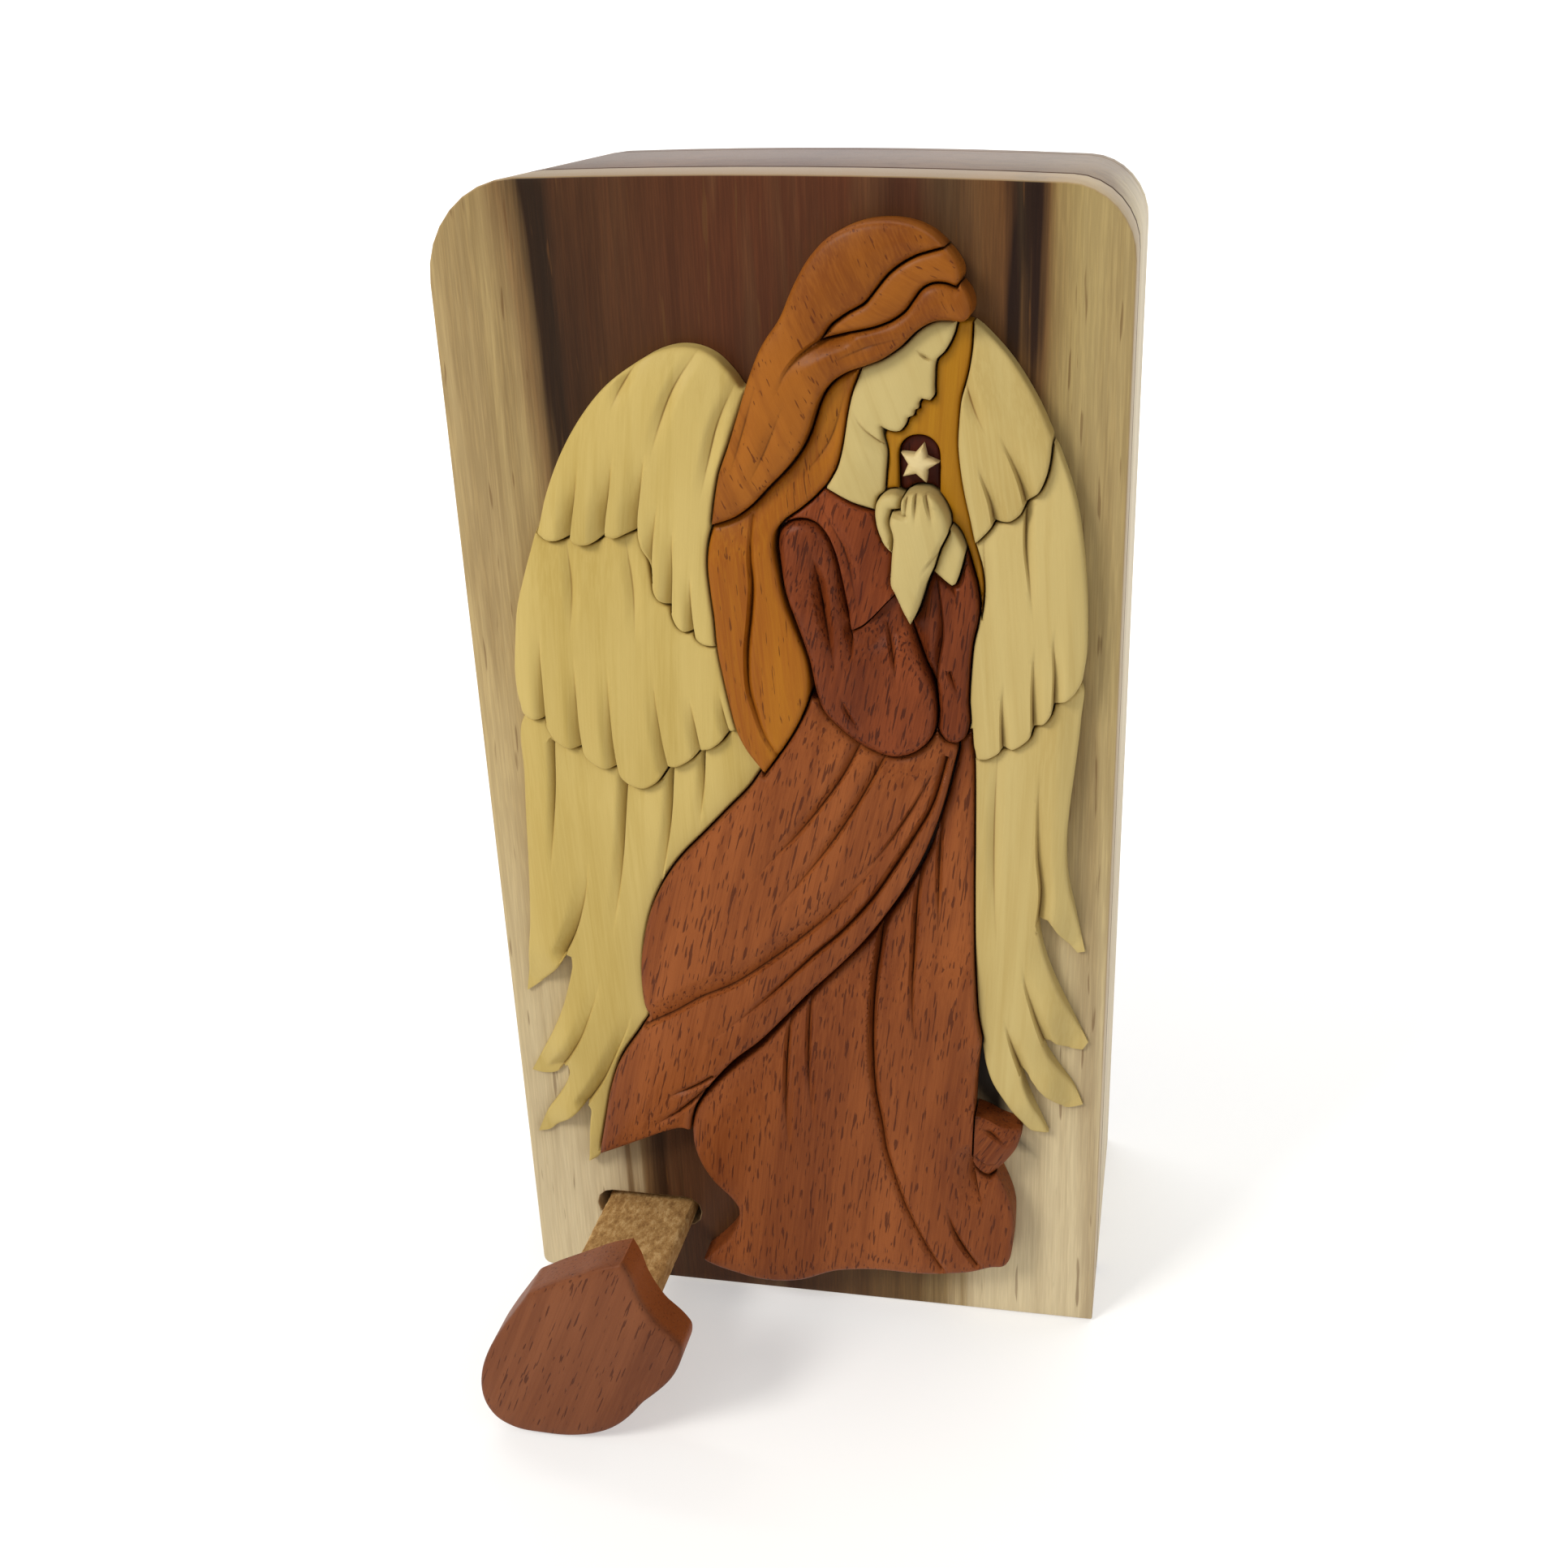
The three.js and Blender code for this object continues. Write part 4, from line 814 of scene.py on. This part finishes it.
def wings():
    return {
        "wing_left_upper": dict(
            wood="cream", line=0.42, tilt=-6, radius=0.5, drop=0.5, crown=0.45,
            slopes=[slope((-34, 168), (-24, 160), 0.8), slope((-6, 176), (-13, 166), 2.2)],
            falls=[fall(-37, 148, 6, 0.8)],
            cuts=[
                feather(1.9, 2.4, (-32.5, 146.6), (-31.6, 150.5), (-30.5, 155.5), (-29.7, 160)),
                feather(2.0, 2.6, (-26.9, 147.1), (-26.3, 150.5), (-25.3, 155), (-23.9, 161.5)),
                feather(2.0, 2.8, (-21.5, 148.2), (-21.2, 151), (-20.3, 155.5), (-18.8, 162)),
                feather(1.6, 1.7, (-19.7, 140.3), (-19.4, 145), (-18.4, 150), (-17.2, 154.5)),
                feather(1.8, 2.0, (-16.9, 136), (-16.4, 141), (-16, 146), (-15.2, 151.5)),
                feather(1.6, 1.6, (-13.4, 131.6), (-13.6, 137), (-13.2, 143.5)),
                rib(0.9, (-19.3, 174.6), (-22.5, 170), (-24.2, 166.5)),
                rib(1.0, (-10.6, 176), (-14.5, 170), (-17, 164), (-18.6, 159)),
                rib(1.1, (-5, 171.6), (-8, 165), (-9.7, 159), (-11.2, 153))]),
        "wing_left_middle": dict(
            wood="cream", line=0.42, tilt=-3, radius=0.45, drop=0.45, crown=0.3,
            slopes=[slope((-30, 151), (-29, 132), 1.2), slope((-44.5, 130), (-40, 130), 0.7)],
            cuts=[
                feather(1.7, 1.9, (-39.5, 115.6), (-39.4, 121), (-39.3, 126), (-38.5, 133)),
                feather(1.8, 2.0, (-33.7, 110.6), (-33.9, 117), (-33.8, 122), (-33.4, 128.5)),
                feather(1.8, 1.9, (-28, 107.4), (-28.4, 114), (-28.4, 120), (-27.9, 127.5)),
                feather(1.7, 1.8, (-19.4, 108.4), (-20.2, 114), (-20.6, 119.5), (-20.5, 126)),
                feather(1.5, 1.5, (-13.7, 111.5), (-14.4, 116.5), (-15, 122.5)),
                feather(1.4, 1.3, (-8.7, 115.2), (-9.5, 118.5), (-10, 123.5)),
                rib(0.7, (-33.5, 148), (-33, 138), (-34, 129)),
                rib(0.7, (-24, 148.5), (-23, 138), (-23.2, 129))]),
        "wing_left_lower": dict(
            wood="cream", line=0.42, tilt=2, radius=0.4, drop=0.4, crown=0.25, floor=0.5,
            slopes=[slope((-28, 108), (-28, 96), 0.5), slope((-47.5, 90), (-41, 90), 1.5)],
            falls=[fall(-49.6, 61, 13, 2.4), fall(-50.6, 45, 12, 2.4), fall(-50.6, 31.5, 11, 2.4),
                   fall(-40.8, 26.5, 9, 1.6)],
            cuts=[
                crease(1.6, 0.35, 1.0, (-38.9, 111.5), (-39.4, 104), (-40.2, 96.7), (-41, 91), (-41.9, 84.5)),
                feather(1.9, 2.4, (-40.6, 71.6), (-38.4, 76), (-36.6, 81), (-35.3, 86), (-34.6, 92)),
                crease(1.8, 0.35, 1.5, (-26.9, 105.8), (-27.5, 100), (-28.2, 94), (-29.3, 87), (-30.4, 81.5),
                       (-31.9, 74.5)),
                crease(1.7, 0.35, 1.4, (-18.9, 108.4), (-19.8, 99), (-21.1, 92), (-23.2, 82.4)),
                crease(1.5, 0.35, 1.2, (-13.4, 112.4), (-14, 104.5), (-15.2, 96.5)),
                feather(1.8, 2.2, (-44.9, 45.9), (-42, 50), (-39.4, 54.4), (-37.2, 59.5), (-35.5, 64),
                        (-34, 69)),
                feather(1.8, 2.2, (-39.4, 40.6), (-35.9, 46), (-33, 52), (-30.4, 57.8), (-28.8, 63))]),
        "wing_right_upper": dict(
            wood="ivory", line=0.42, tilt=8, radius=0.5, drop=0.5, crown=0.45,
            slopes=[slope((40, 173), (34, 165), 1.8)],
            cuts=[
                mirrored_feather(1.9, 2.2, (38.1, 154.2), (37.3, 157.5), (36, 161), (33.6, 166)),
                mirrored_feather(1.8, 2.2, (33.4, 151.2), (32.9, 154.5), (31.8, 158), (30.6, 161.5)),
                rib(1.1, (28.4, 174.5), (30.3, 168.5), (32.4, 164.5))]),
        "wing_right_middle": dict(
            wood="ivory", line=0.42, tilt=4, radius=0.45, drop=0.45, crown=0.3,
            slopes=[slope((38, 160), (38, 146), 1.1), slope((48, 140), (44.5, 140), 0.6)],
            cuts=[
                crease(1.5, 1.3, 0.35, (38, 154.5), (38.1, 148), (38.9, 142), (39.5, 135.5)),
                mirrored_feather(1.6, 1.7, (42.8, 122.2), (42.9, 128), (42.7, 132.5), (42.9, 137)),
                mirrored_feather(1.7, 1.8, (39.7, 118.4), (39.6, 126), (39.9, 134)),
                mirrored_feather(1.6, 1.6, (35, 114.6), (34.9, 121), (35.2, 127.5)),
                rib(0.8, (31.8, 150), (32, 142), (31.9, 136))]),
        "wing_right_lower": dict(
            wood="ivory", line=0.42, tilt=-2, radius=0.4, drop=0.4, crown=0.25, floor=0.5,
            slopes=[slope((38, 122), (38, 110), 0.5), slope((47.5, 100), (43, 100), 1.3)],
            falls=[fall(48.9, 77.5, 11, 2.3), fall(49.6, 59.5, 11, 2.3), fall(49, 47.4, 9, 2.2),
                   fall(43, 41.8, 9, 2.2)],
            cuts=[
                mirrored_feather(1.9, 2.2, (41.1, 84.2), (41.5, 90), (40.9, 96.5), (40.8, 104),
                                 (41.1, 114)),
                mirrored_feather(1.8, 2.0, (42.6, 60.6), (40.9, 66.5), (39.4, 72.5), (38.6, 78)),
                mirrored_feather(1.8, 2.0, (38.8, 55.2), (37.3, 60), (35.8, 66.5)),
                rib(0.8, (34.3, 117), (33.8, 100), (34, 88), (34.6, 78))]),
    }


def hair_pieces():
    return {
        "hair_wave": dict(wood="hair", tilt=62, radius=0.8, drop=0.7, crown=0.7, reach=3.0,
                          falls=[fall(9, 178.5, 7, 0.6)]),
        "hair_main": dict(
            wood="hair", tilt=24, radius=0.9, drop=0.8, crown=1.0, reach=3.0, grid=0.55,
            slopes=[slope((-9, 148), (0, 166), 1.0), slope((2, 191), (12, 184), 0.8)],
            cuts=[
                crease(1.6, 2.2, 0.5, (11.5, 178.8), (8.5, 178), (5.5, 176), (3.5, 173.7), (2.3, 171.5),
                       (0.6, 168.3)),
                rib(0.7, (-1.5, 171), (-4, 163.5), (-6.2, 157)),
                rib(0.6, (2.4, 168), (-0.5, 161.5), (-3.6, 156)),
                rib(0.6, (20, 178.6), (15, 177.2), (9, 174.6))]),
        "hair_back": dict(
            wood="gold", tilt=4, radius=0.8, drop=0.7, crown=0.7, reach=3.0,
            slopes=[slope((-9, 152), (-6, 143), 1.2)],
            cuts=[
                crease(1.5, 0.9, 0.5, (-3.2, 151.5), (-3.6, 145), (-3.5, 141), (-4, 136), (-4.8, 130),
                       (-4.8, 124), (-4, 120.5), (-2.6, 116), (-0.8, 112.5), start=0.3, end=0.3, peak=0.4),
                rib(0.7, (11.6, 171), (8.8, 163), (4, 157))]),
        "hair_far": dict(wood="amber", line=0.2, tilt=-4, radius=0.5, drop=0.4, crown=0.1),
    }


def body_pieces():
    return {
        "face_neck": dict(
            wood="pale", line=0.25, tilt=20, radius=0.6, drop=0.5, grid=0.4,
            falls=[fall(17, 157, 7, 0.7)],
            cuts=[
                crease(0.7, 0.6, 0.3, (22.1, 176.6), (23.2, 175.6), (24.5, 175.2), start=0.2, end=0.2,
                       peak=0.5),
                crease(0.9, 0.4, 1.8, (12.2, 168.5), (13.6, 165.6), (15.8, 163.6), (18.2, 162.2),
                       start=0.0, end=1.0, peak=0.8)]),
        "hand_near": dict(
            wood="pale", line=0.25, tilt=12, radius=1.0, drop=1.1, grid=0.35, wobble=0.06,
            slopes=[slope((21, 135), (22, 146), 1.0)],
            cuts=[
                crease(1.0, 0.8, 0.4, (20.9, 156.3), (20.75, 154.6), (20.6, 153), end=0.4),
                crease(1.1, 0.8, 0.4, (22.2, 156.5), (22.1, 154.8), (22.1, 153.2), (22, 151.4)),
                crease(1.1, 0.8, 0.4, (23.6, 156.3), (24, 154.6), (24.4, 153.2), (24.6, 151.2)),
                crease(1.4, 0.6, 0.6, (18.2, 153.5), (19.2, 153.3), (20.5, 153), end=0.4),
                crease(0.8, 1.2, 0.4, (25.9, 147.8), (24.4, 146.3), (22.6, 143.6), end=0.0)]),
        "hand_far_fingers": dict(wood="pale", line=0.25, tilt=-10, radius=0.9, drop=1.0, grid=0.35),
        "hand_far_wrist": dict(wood="pale", line=0.25, tilt=30, radius=0.7, drop=0.7, crown=0.3, grid=0.35),
        "star": dict(wood="pale_lit", tilt=70, radius=0.6, drop=0.6, crown=0.3, reach=0.8, grid=0.22,
                     floor=0.3, wobble=0.5),
        "star_bed": dict(wood="dark", tilt=0, radius=0.5, drop=0.3, crown=0.0),
        "sleeve_near": dict(
            wood="sleeve", tilt=-12, line=0.35, radius=1.7, drop=1.5, crown=1.0, reach=3.6,
            slopes=[slope((12, 140), (9, 134), 0.8), slope((20.5, 138), (17.5, 131), 1.0)],
            falls=[fall(15, 137.5, 9, 1.8)],
            flush=[(13.6, 135.2, 3.2), (16.5, 137.6, 4.5)],
            cuts=[
                crease(2.3, 1.5, 1.0, (5.2, 148), (6, 144.6), (6.6, 141.3), (7.3, 137.5), (8.1, 133.5),
                       (9, 129), (9.5, 125.5), start=0.0, end=0.0, peak=0.45),
                crease(1.6, 0.5, 1.3, (11.7, 134.6), (11.8, 131.5), (11.3, 127.2)),
                fold(0.8, 0.8, 0.5, (17.2, 135.5), (18.4, 130), (18.9, 124.5)),
                fold(0.7, 0.8, 0.5, (9.8, 124.5), (11.2, 120.5), (13.6, 117.5), start=0.0, peak=0.5)]),
        "sleeve_far": dict(
            wood="sleeve", tilt=-8, radius=1.1, drop=1.1, crown=0.7, reach=3.6,
            slopes=[slope((21.5, 134), (26.2, 134), 1.6)],
            cuts=[
                crease(1.7, 0.5, 1.5, (24.7, 143.2), (25.5, 138), (25.7, 134), (25.2, 130.5), (24.7, 127),
                       (24.9, 120.5), start=0.6, end=0.5, peak=0.5),
                crease(0.8, 0.5, 0.6, (26.8, 142.4), (28.5, 138.6)),
                crease(0.8, 0.5, 0.6, (26.9, 128), (28.6, 122.5))]),
        "bodice": dict(
            wood="bodice", tilt=-14, line=0.35, radius=0.6, drop=0.5,
            slopes=[slope((6, 152), (10.5, 149), 0.8)],
            flush=[(13.6, 135.2, 3.2), (16.5, 137.6, 4.5)],
            cuts=[rib(0.9, (7.5, 153), (10.6, 147), (12.2, 140), (12.6, 136))]),
    }


def dress_pieces():
    return {
        "skirt_upper": dict(
            wood="dress", tilt=-14, radius=0.8, drop=0.7, crown=1.0, reach=3.0, grid=0.55,
            slopes=[slope((18, 119), (14, 108), 1.0), slope((-36, 34), (-24, 52), 0.8)],
            cuts=[
                fold(1.8, 0.5, 1.0, (26.4, 113.5), (24.3, 105.8), (21.4, 100), (18, 94), (14.3, 88),
                     (9.3, 81.7), (4.3, 76.7), (-2, 70), (-7, 65), (-13.3, 59.5), (-18.6, 54.8),
                     start=0.8, peak=0.4),
                fold(1.2, 0.5, 1.7, (17.2, 114.5), (13.6, 107.6), (10.8, 102.6), (6.8, 96.4), (1.8, 89.8),
                     (-2, 85), (-6.8, 79.8), start=0.9),
                fold(1.2, 0.5, 1.7, (13, 115.8), (9.9, 109.8), (6.4, 104.5), (1.8, 98.6), (-2, 94.5),
                     (-5.8, 90), (-8, 87.4), start=0.9),
                fold(1.4, 0.5, 3.6, (18.4, 100.5), (14.6, 94), (11.1, 89.5), (7.4, 85), (2.4, 80),
                     (-3.3, 75), (-10, 69.8), (-15.8, 66.7), (-20.8, 63.3), (-26.2, 59.9),
                     start=0.1, end=1.0, peak=0.5),
                fold(1.1, 0.7, 0.9, (-15, 50.3), (-18.2, 48.2), (-24.6, 45.2), start=1.0),
                fold(1.2, 0.7, 0.9, (-16.3, 47.3), (-17, 46.7), (-21.4, 42.6), (-27.8, 38.1), start=1.0),
                fold(0.8, 1.1, 0.5, (24, 110.5), (20.2, 103.6), (15.5, 96.2), (10, 90), start=0.5)]),
        "skirt_lower": dict(
            wood="dress", tilt=-7, radius=0.8, drop=0.7, crown=0.9, reach=3.0, grid=0.55,
            slopes=[slope((26, 116), (25, 98), 0.9), slope((-8, 56), (0, 46), 0.8),
                    slope((10, 76), (13, 66), 0.7)],
            falls=[fall(33, 57, 6, 0.8)],
            flush=[(30.8, 42.5, 9.0)],
            cuts=[
                fold(2.1, 1.0, 0.9, (16.8, 87), (15.5, 82), (15, 78), (14.2, 72), (13.7, 62), (14, 51),
                     (15.1, 43.8), (15.8, 38.4), (17.2, 33), (18.8, 27.5), (20.8, 22.5), (22.9, 18),
                     (25.4, 13.2), start=1.0, end=0.5, peak=0.05),
                fold(1.2, 0.8, 0.7, (22.2, 96), (21.3, 87), (20.8, 78), (20.6, 69), (21, 62), (22.4, 53.5)),
                fold(0.9, 0.7, 0.6, (25.3, 104), (24.9, 90), (24.9, 76)),
                fold(1.0, 1.0, 0.6, (-0.1, 66.5), (-1.1, 59.5), (-1.7, 50), (-1.8, 41), (-1.2, 32.5)),
                fold(0.9, 1.0, 0.6, (3.2, 70.6), (2.5, 59.5), (2.5, 50), (3.2, 40)),
                fold(1.1, 0.9, 0.6, (26, 30.5), (27, 25), (28.6, 20.5), (31.8, 15), start=0.0, end=0.8,
                     peak=0.7),
                fold(1.8, 0.4, 4.0, (31, 37.6), (31.4, 34), (32, 31), (33.2, 27), start=1.0)]),
        "hem_fold": dict(
            wood="dress", line=0.3, tilt=-30, radius=0.8, drop=0.8, crown=0.6, reach=3.0, grid=0.4,
            slopes=[slope((37, 47), (34.5, 42), 1.6), slope((39.5, 38), (34.5, 41), 1.2)],
            flush=[(30.8, 42.5, 9.0)],
            cuts=[fold(0.9, 1.2, 0.4, (32.6, 44.6), (35, 42.8), (37.6, 40.9), start=0.2),
                  fold(0.7, 0.4, 1.4, (31.6, 38.6), (33.4, 37), (35.8, 37.4), start=0.8)]),
    }


def key_head_piece():
    return {"key_head": dict(wood="key", tilt=-22, radius=0.6, drop=0.5, floor=1.0)}


PIECES = {**wings(), **hair_pieces(), **body_pieces(), **dress_pieces(), **key_head_piece()}
RELIEF = {node: {**DEFAULTS, **spec} for node, spec in PIECES.items()}


def carve_relief():
    """Every relief piece, carved and finished; returns the outlines on the lid by their node."""
    loops = {node: smooth_loop(cap_loops(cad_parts[node])[0]) for node in RELIEF}
    on_lid = {node: loop for node, loop in loops.items() if node != "key_head"}
    for seed, (node, spec) in enumerate(RELIEF.items(), start=1):
        body = "key" if node == "key_head" else "lid"
        others = [loop for other, loop in on_lid.items() if body == "lid" and other != node]
        piece = relief_piece(node, spec, loops[node], others)
        piece.data.materials.append(wood(node + "_wood", spec["wood"], spec["tilt"], seed))
        attach(piece, node, body)
    return on_lid


# ------------------------------------------------------------------ box, lid and key

def between_edges(points, segments):
    """Which points lie inside the face that the segments bound, its holes left out."""
    crossings = np.zeros(len(points), int)
    for a, b in segments:
        if a[1] != b[1]:
            spans = (a[1] > points[:, 1]) != (b[1] > points[:, 1])
            left = points[:, 0] < (b[0] - a[0]) * (points[:, 1] - a[1]) / (b[1] - a[1]) + a[0]
            crossings += spans & left
    return crossings % 2 == 1


def dense_front(obj, plane, spacing):
    """Replaces the flat front face of a solid with a fine grid that keeps the same edges."""
    bm = bmesh.new()
    bm.from_mesh(obj.data)
    front = [f for f in bm.faces if all(abs(v.co.y / MM - plane) < 1e-2 for v in f.verts)]
    boundary = [e for e in bm.edges if sum(f in front for f in e.link_faces) == 1
                and all(abs(v.co.y / MM - plane) < 1e-2 for v in e.verts)]
    bmesh.ops.delete(bm, geom=front, context="FACES_KEEP_BOUNDARY")
    verts = list({v for e in boundary for v in e.verts})
    index = {v: i for i, v in enumerate(verts)}
    rim = np.array([(v.co.x / MM, v.co.z / MM) for v in verts])
    edges = [(index[e.verts[0]], index[e.verts[1]]) for e in boundary]
    low, high = rim.min(0), rim.max(0)
    xs = np.arange(low[0] + spacing, high[0] - spacing / 2, spacing)
    zs = np.arange(low[1] + spacing, high[1] - spacing / 2, spacing)
    grid = np.array([(x, z) for x in xs for z in zs])
    segments = [(rim[a], rim[b]) for a, b in edges]
    distance = np.min([nearest(grid, [a, b])[0] for a, b in segments], axis=0)
    grid = grid[(distance > 0.5 * spacing) & between_edges(grid, segments)]
    points = [Vector(p) for p in np.vstack([rim, grid])]
    result = delaunay_2d_cdt(points, edges, [], 2, 1e-5)
    placed = [verts[s[0]] if s and s[0] < len(verts) else None for s in result[3]]
    for i, point in enumerate(result[0]):
        if placed[i] is None:
            placed[i] = bm.verts.new((point.x * MM, plane * MM, point.y * MM))
    middles = np.array([np.mean([result[0][i] for i in face], axis=0) for face in result[2]])
    for face, kept in zip(result[2], between_edges(middles, segments)):
        if kept:
            bm.faces.new([placed[i] for i in face])
    bmesh.ops.recalc_face_normals(bm, faces=bm.faces)
    bm.to_mesh(obj.data)
    bm.free()


def lid_board(outlines):
    """The lid's board. Its points hold two painted marks: near, painted shade round the relief, and gap, dark
    heartwood with painted shade in the recess beside the hem.
    """
    board = clean_copy("lid_panel", "_board")
    round_edges(board, 0.8)
    dense_front(board, FACE_Y, BOARD_GRID)
    smooth_shaded(board.data)
    points = np.array([(v.co.x / MM, v.co.z / MM) for v in board.data.vertices])
    depth = np.array([v.co.y / MM - FACE_Y for v in board.data.vertices])
    distances = {node: distance_to(points, outline) for node, outline in outlines.items()}
    distance = np.min(list(distances.values()), axis=0)
    narrow = np.maximum(distances["skirt_lower"], distances["wing_right_lower"])
    patchy = np.array([0.6 + 0.8 * noise.noise(Vector((x * 0.07, 3.0, z * 0.05))) for x, z in points])
    # painted shade round the relief, patchy
    near = np.exp(-distance / NEAR_REACH) * np.clip(patchy, 0, 1) * (depth < SKIN)
    set_attribute(board, "near", near)
    # gap: dark heartwood and painted shade in the narrow recess between skirt and wing
    set_attribute(board, "gap", (1 - smoothstep(narrow / GAP_WIDTH - 1)) * (depth < SKIN))
    wear(board, heartwood_panel("lid_wood"))
    attach(board, "lid_panel", "lid")


def finished_copy(node, suffix, width, material, body, segments=3):
    """A CAD node's copy with its edges eased, in its own material and on its body."""
    piece = clean_copy(node, suffix)
    round_edges(piece, width, segments)
    wear(piece, material)
    attach(piece, node, body)


def box_shell():
    material = case_wood("case_wood")
    for node, width in (("case_body", 0.6), ("back_panel", 0.8)):
        finished_copy(node, "_shell", width, material, "case")


def peg_and_cap():
    for seed, (node, width) in enumerate((("pivot_peg", 0.5), ("pivot_cap", 0.6)), start=3):
        finished_copy(node, "_turned", width, raw_wood(node + "_wood", seed), "lid")


def lining():
    cloth = felt("felt")
    for node in ("lining_floor", "lining_wall"):
        finished_copy(node, "_felt", 0.2, cloth, "case", segments=2)


def key_tongue():
    """The sawn tongue: its outline extruded in rings, a little rough all over."""
    low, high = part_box("key_tongue")
    loop = smooth_loop(cap_loops(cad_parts["key_tongue"])[0], 0.6)
    centre = loop.mean(0)
    length = (high.y - low.y) / MM
    front = low.y / MM
    ease, rows = 0.5, 60
    sunk, rough_depth, pit_depth, pit_start = 0.12, 0.10, 0.5, 0.25
    ends = [0.0, ease * 0.3, ease]
    middle = list(np.linspace(ease, length - ease, rows)[1:-1])
    rings = ends + middle + [length - e for e in reversed(ends)]
    vertices = []
    for along in rings:
        inset = ease * (1 - min(1.0, min(along, length - along) / ease)) ** 2
        for point in loop:
            outward = (point - centre) / np.linalg.norm(point - centre)
            rough = noise.noise(Vector((point[0] * 1.1, along * 0.7, point[1] * 1.1)))
            pitted = noise.noise(Vector((point[0] * 2.3, along * 1.6, point[1] * 2.3 + 9)))
            pit = max(0.0, pitted - pit_start)
            moved = point - outward * (inset + sunk + rough_depth * rough + pit_depth * pit)
            vertices.append((moved[0], front + along, moved[1]))
    count = len(loop)
    faces = []
    for r in range(len(rings) - 1):
        for i in range(count):
            j = (i + 1) % count
            a, b = r * count, (r + 1) * count
            faces.append([a + i, a + j, b + j, b + i])
    faces.append(list(range(count))[::-1])
    faces.append([(len(rings) - 1) * count + i for i in range(count)])
    tongue = mesh_object("key_tongue_sawn", np.array(vertices) * MM, faces, 30)
    bm = bmesh.new()
    bm.from_mesh(tongue.data)
    bmesh.ops.recalc_face_normals(bm, faces=bm.faces)
    bm.to_mesh(tongue.data)
    bm.free()
    tongue.data.materials.append(raw_wood("tongue_wood", 1))
    attach(tongue, "key_tongue", "key")


# ------------------------------------------------------------------ stage, light and camera

def stage():
    """A pale floor that curves up into a backdrop."""
    half, front, bend_start, radius, top = 4.0, -3.0, 1.2, 1.2, 4.0
    bend_steps = 24
    profile = [(front, 0.0), (bend_start, 0.0)]
    for i in range(1, bend_steps + 1):
        angle = math.radians(90 * i / bend_steps)
        profile.append((bend_start + radius * math.sin(angle), radius * (1 - math.cos(angle))))
    profile.append((bend_start + radius, top))
    vertices = [(x, y, z) for y, z in profile for x in (-half, half)]
    faces = [[2 * i, 2 * i + 1, 2 * i + 3, 2 * i + 2] for i in range(len(profile) - 1)]
    floor = mesh_object("floor", vertices, faces, 60)
    s = Shader("floor", 0.7)
    tone = s.noise(s.mapped((3, 3, 3)), detail=2)
    colour = s.ramp(tone, [(0.3, (198, 198, 197)), (0.7, (204, 204, 203))])
    s.surface.inputs["Emission Color"].default_value = (1, 1, 1, 1)
    s.surface.inputs["Emission Strength"].default_value = 0.42
    floor.data.materials.append(s.finish(colour, s.bump(tone, 0.01)))


def light(name, place_at, target, size, power, colour=(1, 1, 1)):
    data = bpy.data.lights.new(name, "AREA")
    data.shape = "RECTANGLE"
    data.size, data.size_y = size
    data.energy = power
    data.color = colour
    obj = bpy.data.objects.new(name, data)
    obj.location = place_at
    obj.rotation_euler = (Vector(target) - Vector(place_at)).to_track_quat("-Z", "Y").to_euler()
    bpy.context.scene.collection.objects.link(obj)


def lights():
    middle = (0, -0.03, 0.1)
    light("key_light", (-0.60, -0.72, 0.85), middle, (0.36, 0.36), 9.3, (1.0, 0.97, 0.92))
    light("fill_light", (0.9, -0.8, 0.5), middle, (1.0, 1.0), 2.0)
    light("wall_light", (0, 0.5, 1.6), (0, 2.4, 0.5), (3.0, 0.6), 60)
    world = bpy.data.worlds.new("studio")
    world.use_nodes = True
    world.node_tree.nodes["Background"].inputs["Color"].default_value = (1.0, 0.985, 0.96, 1)
    world.node_tree.nodes["Background"].inputs["Strength"].default_value = 0.47
    bpy.context.scene.world = world


def camera():
    """The viewing angle: a little from the right, well above, close to the object."""
    azimuth, elevation, roll = math.radians(9.13), math.radians(23.01), math.radians(-0.46)
    back = Vector((math.sin(azimuth) * math.cos(elevation), -math.cos(azimuth) * math.cos(elevation),
                   math.sin(elevation)))
    right = Vector((math.cos(azimuth), math.sin(azimuth), 0))
    up = back.cross(right)
    turned_right = right * math.cos(roll) + up * math.sin(roll)
    turned_up = up * math.cos(roll) - right * math.sin(roll)
    data = bpy.data.cameras.new("camera")
    data.sensor_width = 36
    data.lens = 38.65
    data.shift_x = -0.0844
    data.shift_y = -0.0305
    data.clip_start = 0.02
    data.clip_end = 20
    obj = bpy.data.objects.new("camera", data)
    matrix = Matrix((turned_right, turned_up, back)).transposed().to_4x4()
    matrix.translation = Vector((60.0, -278.9, 219.8)) * MM
    obj.matrix_world = matrix
    bpy.context.scene.collection.objects.link(obj)
    bpy.context.scene.camera = obj
    bpy.context.scene.view_settings.view_transform = "Standard"


camera()
stage()
lights()
lid_board(carve_relief())
box_shell()
peg_and_cap()
lining()
key_tongue()
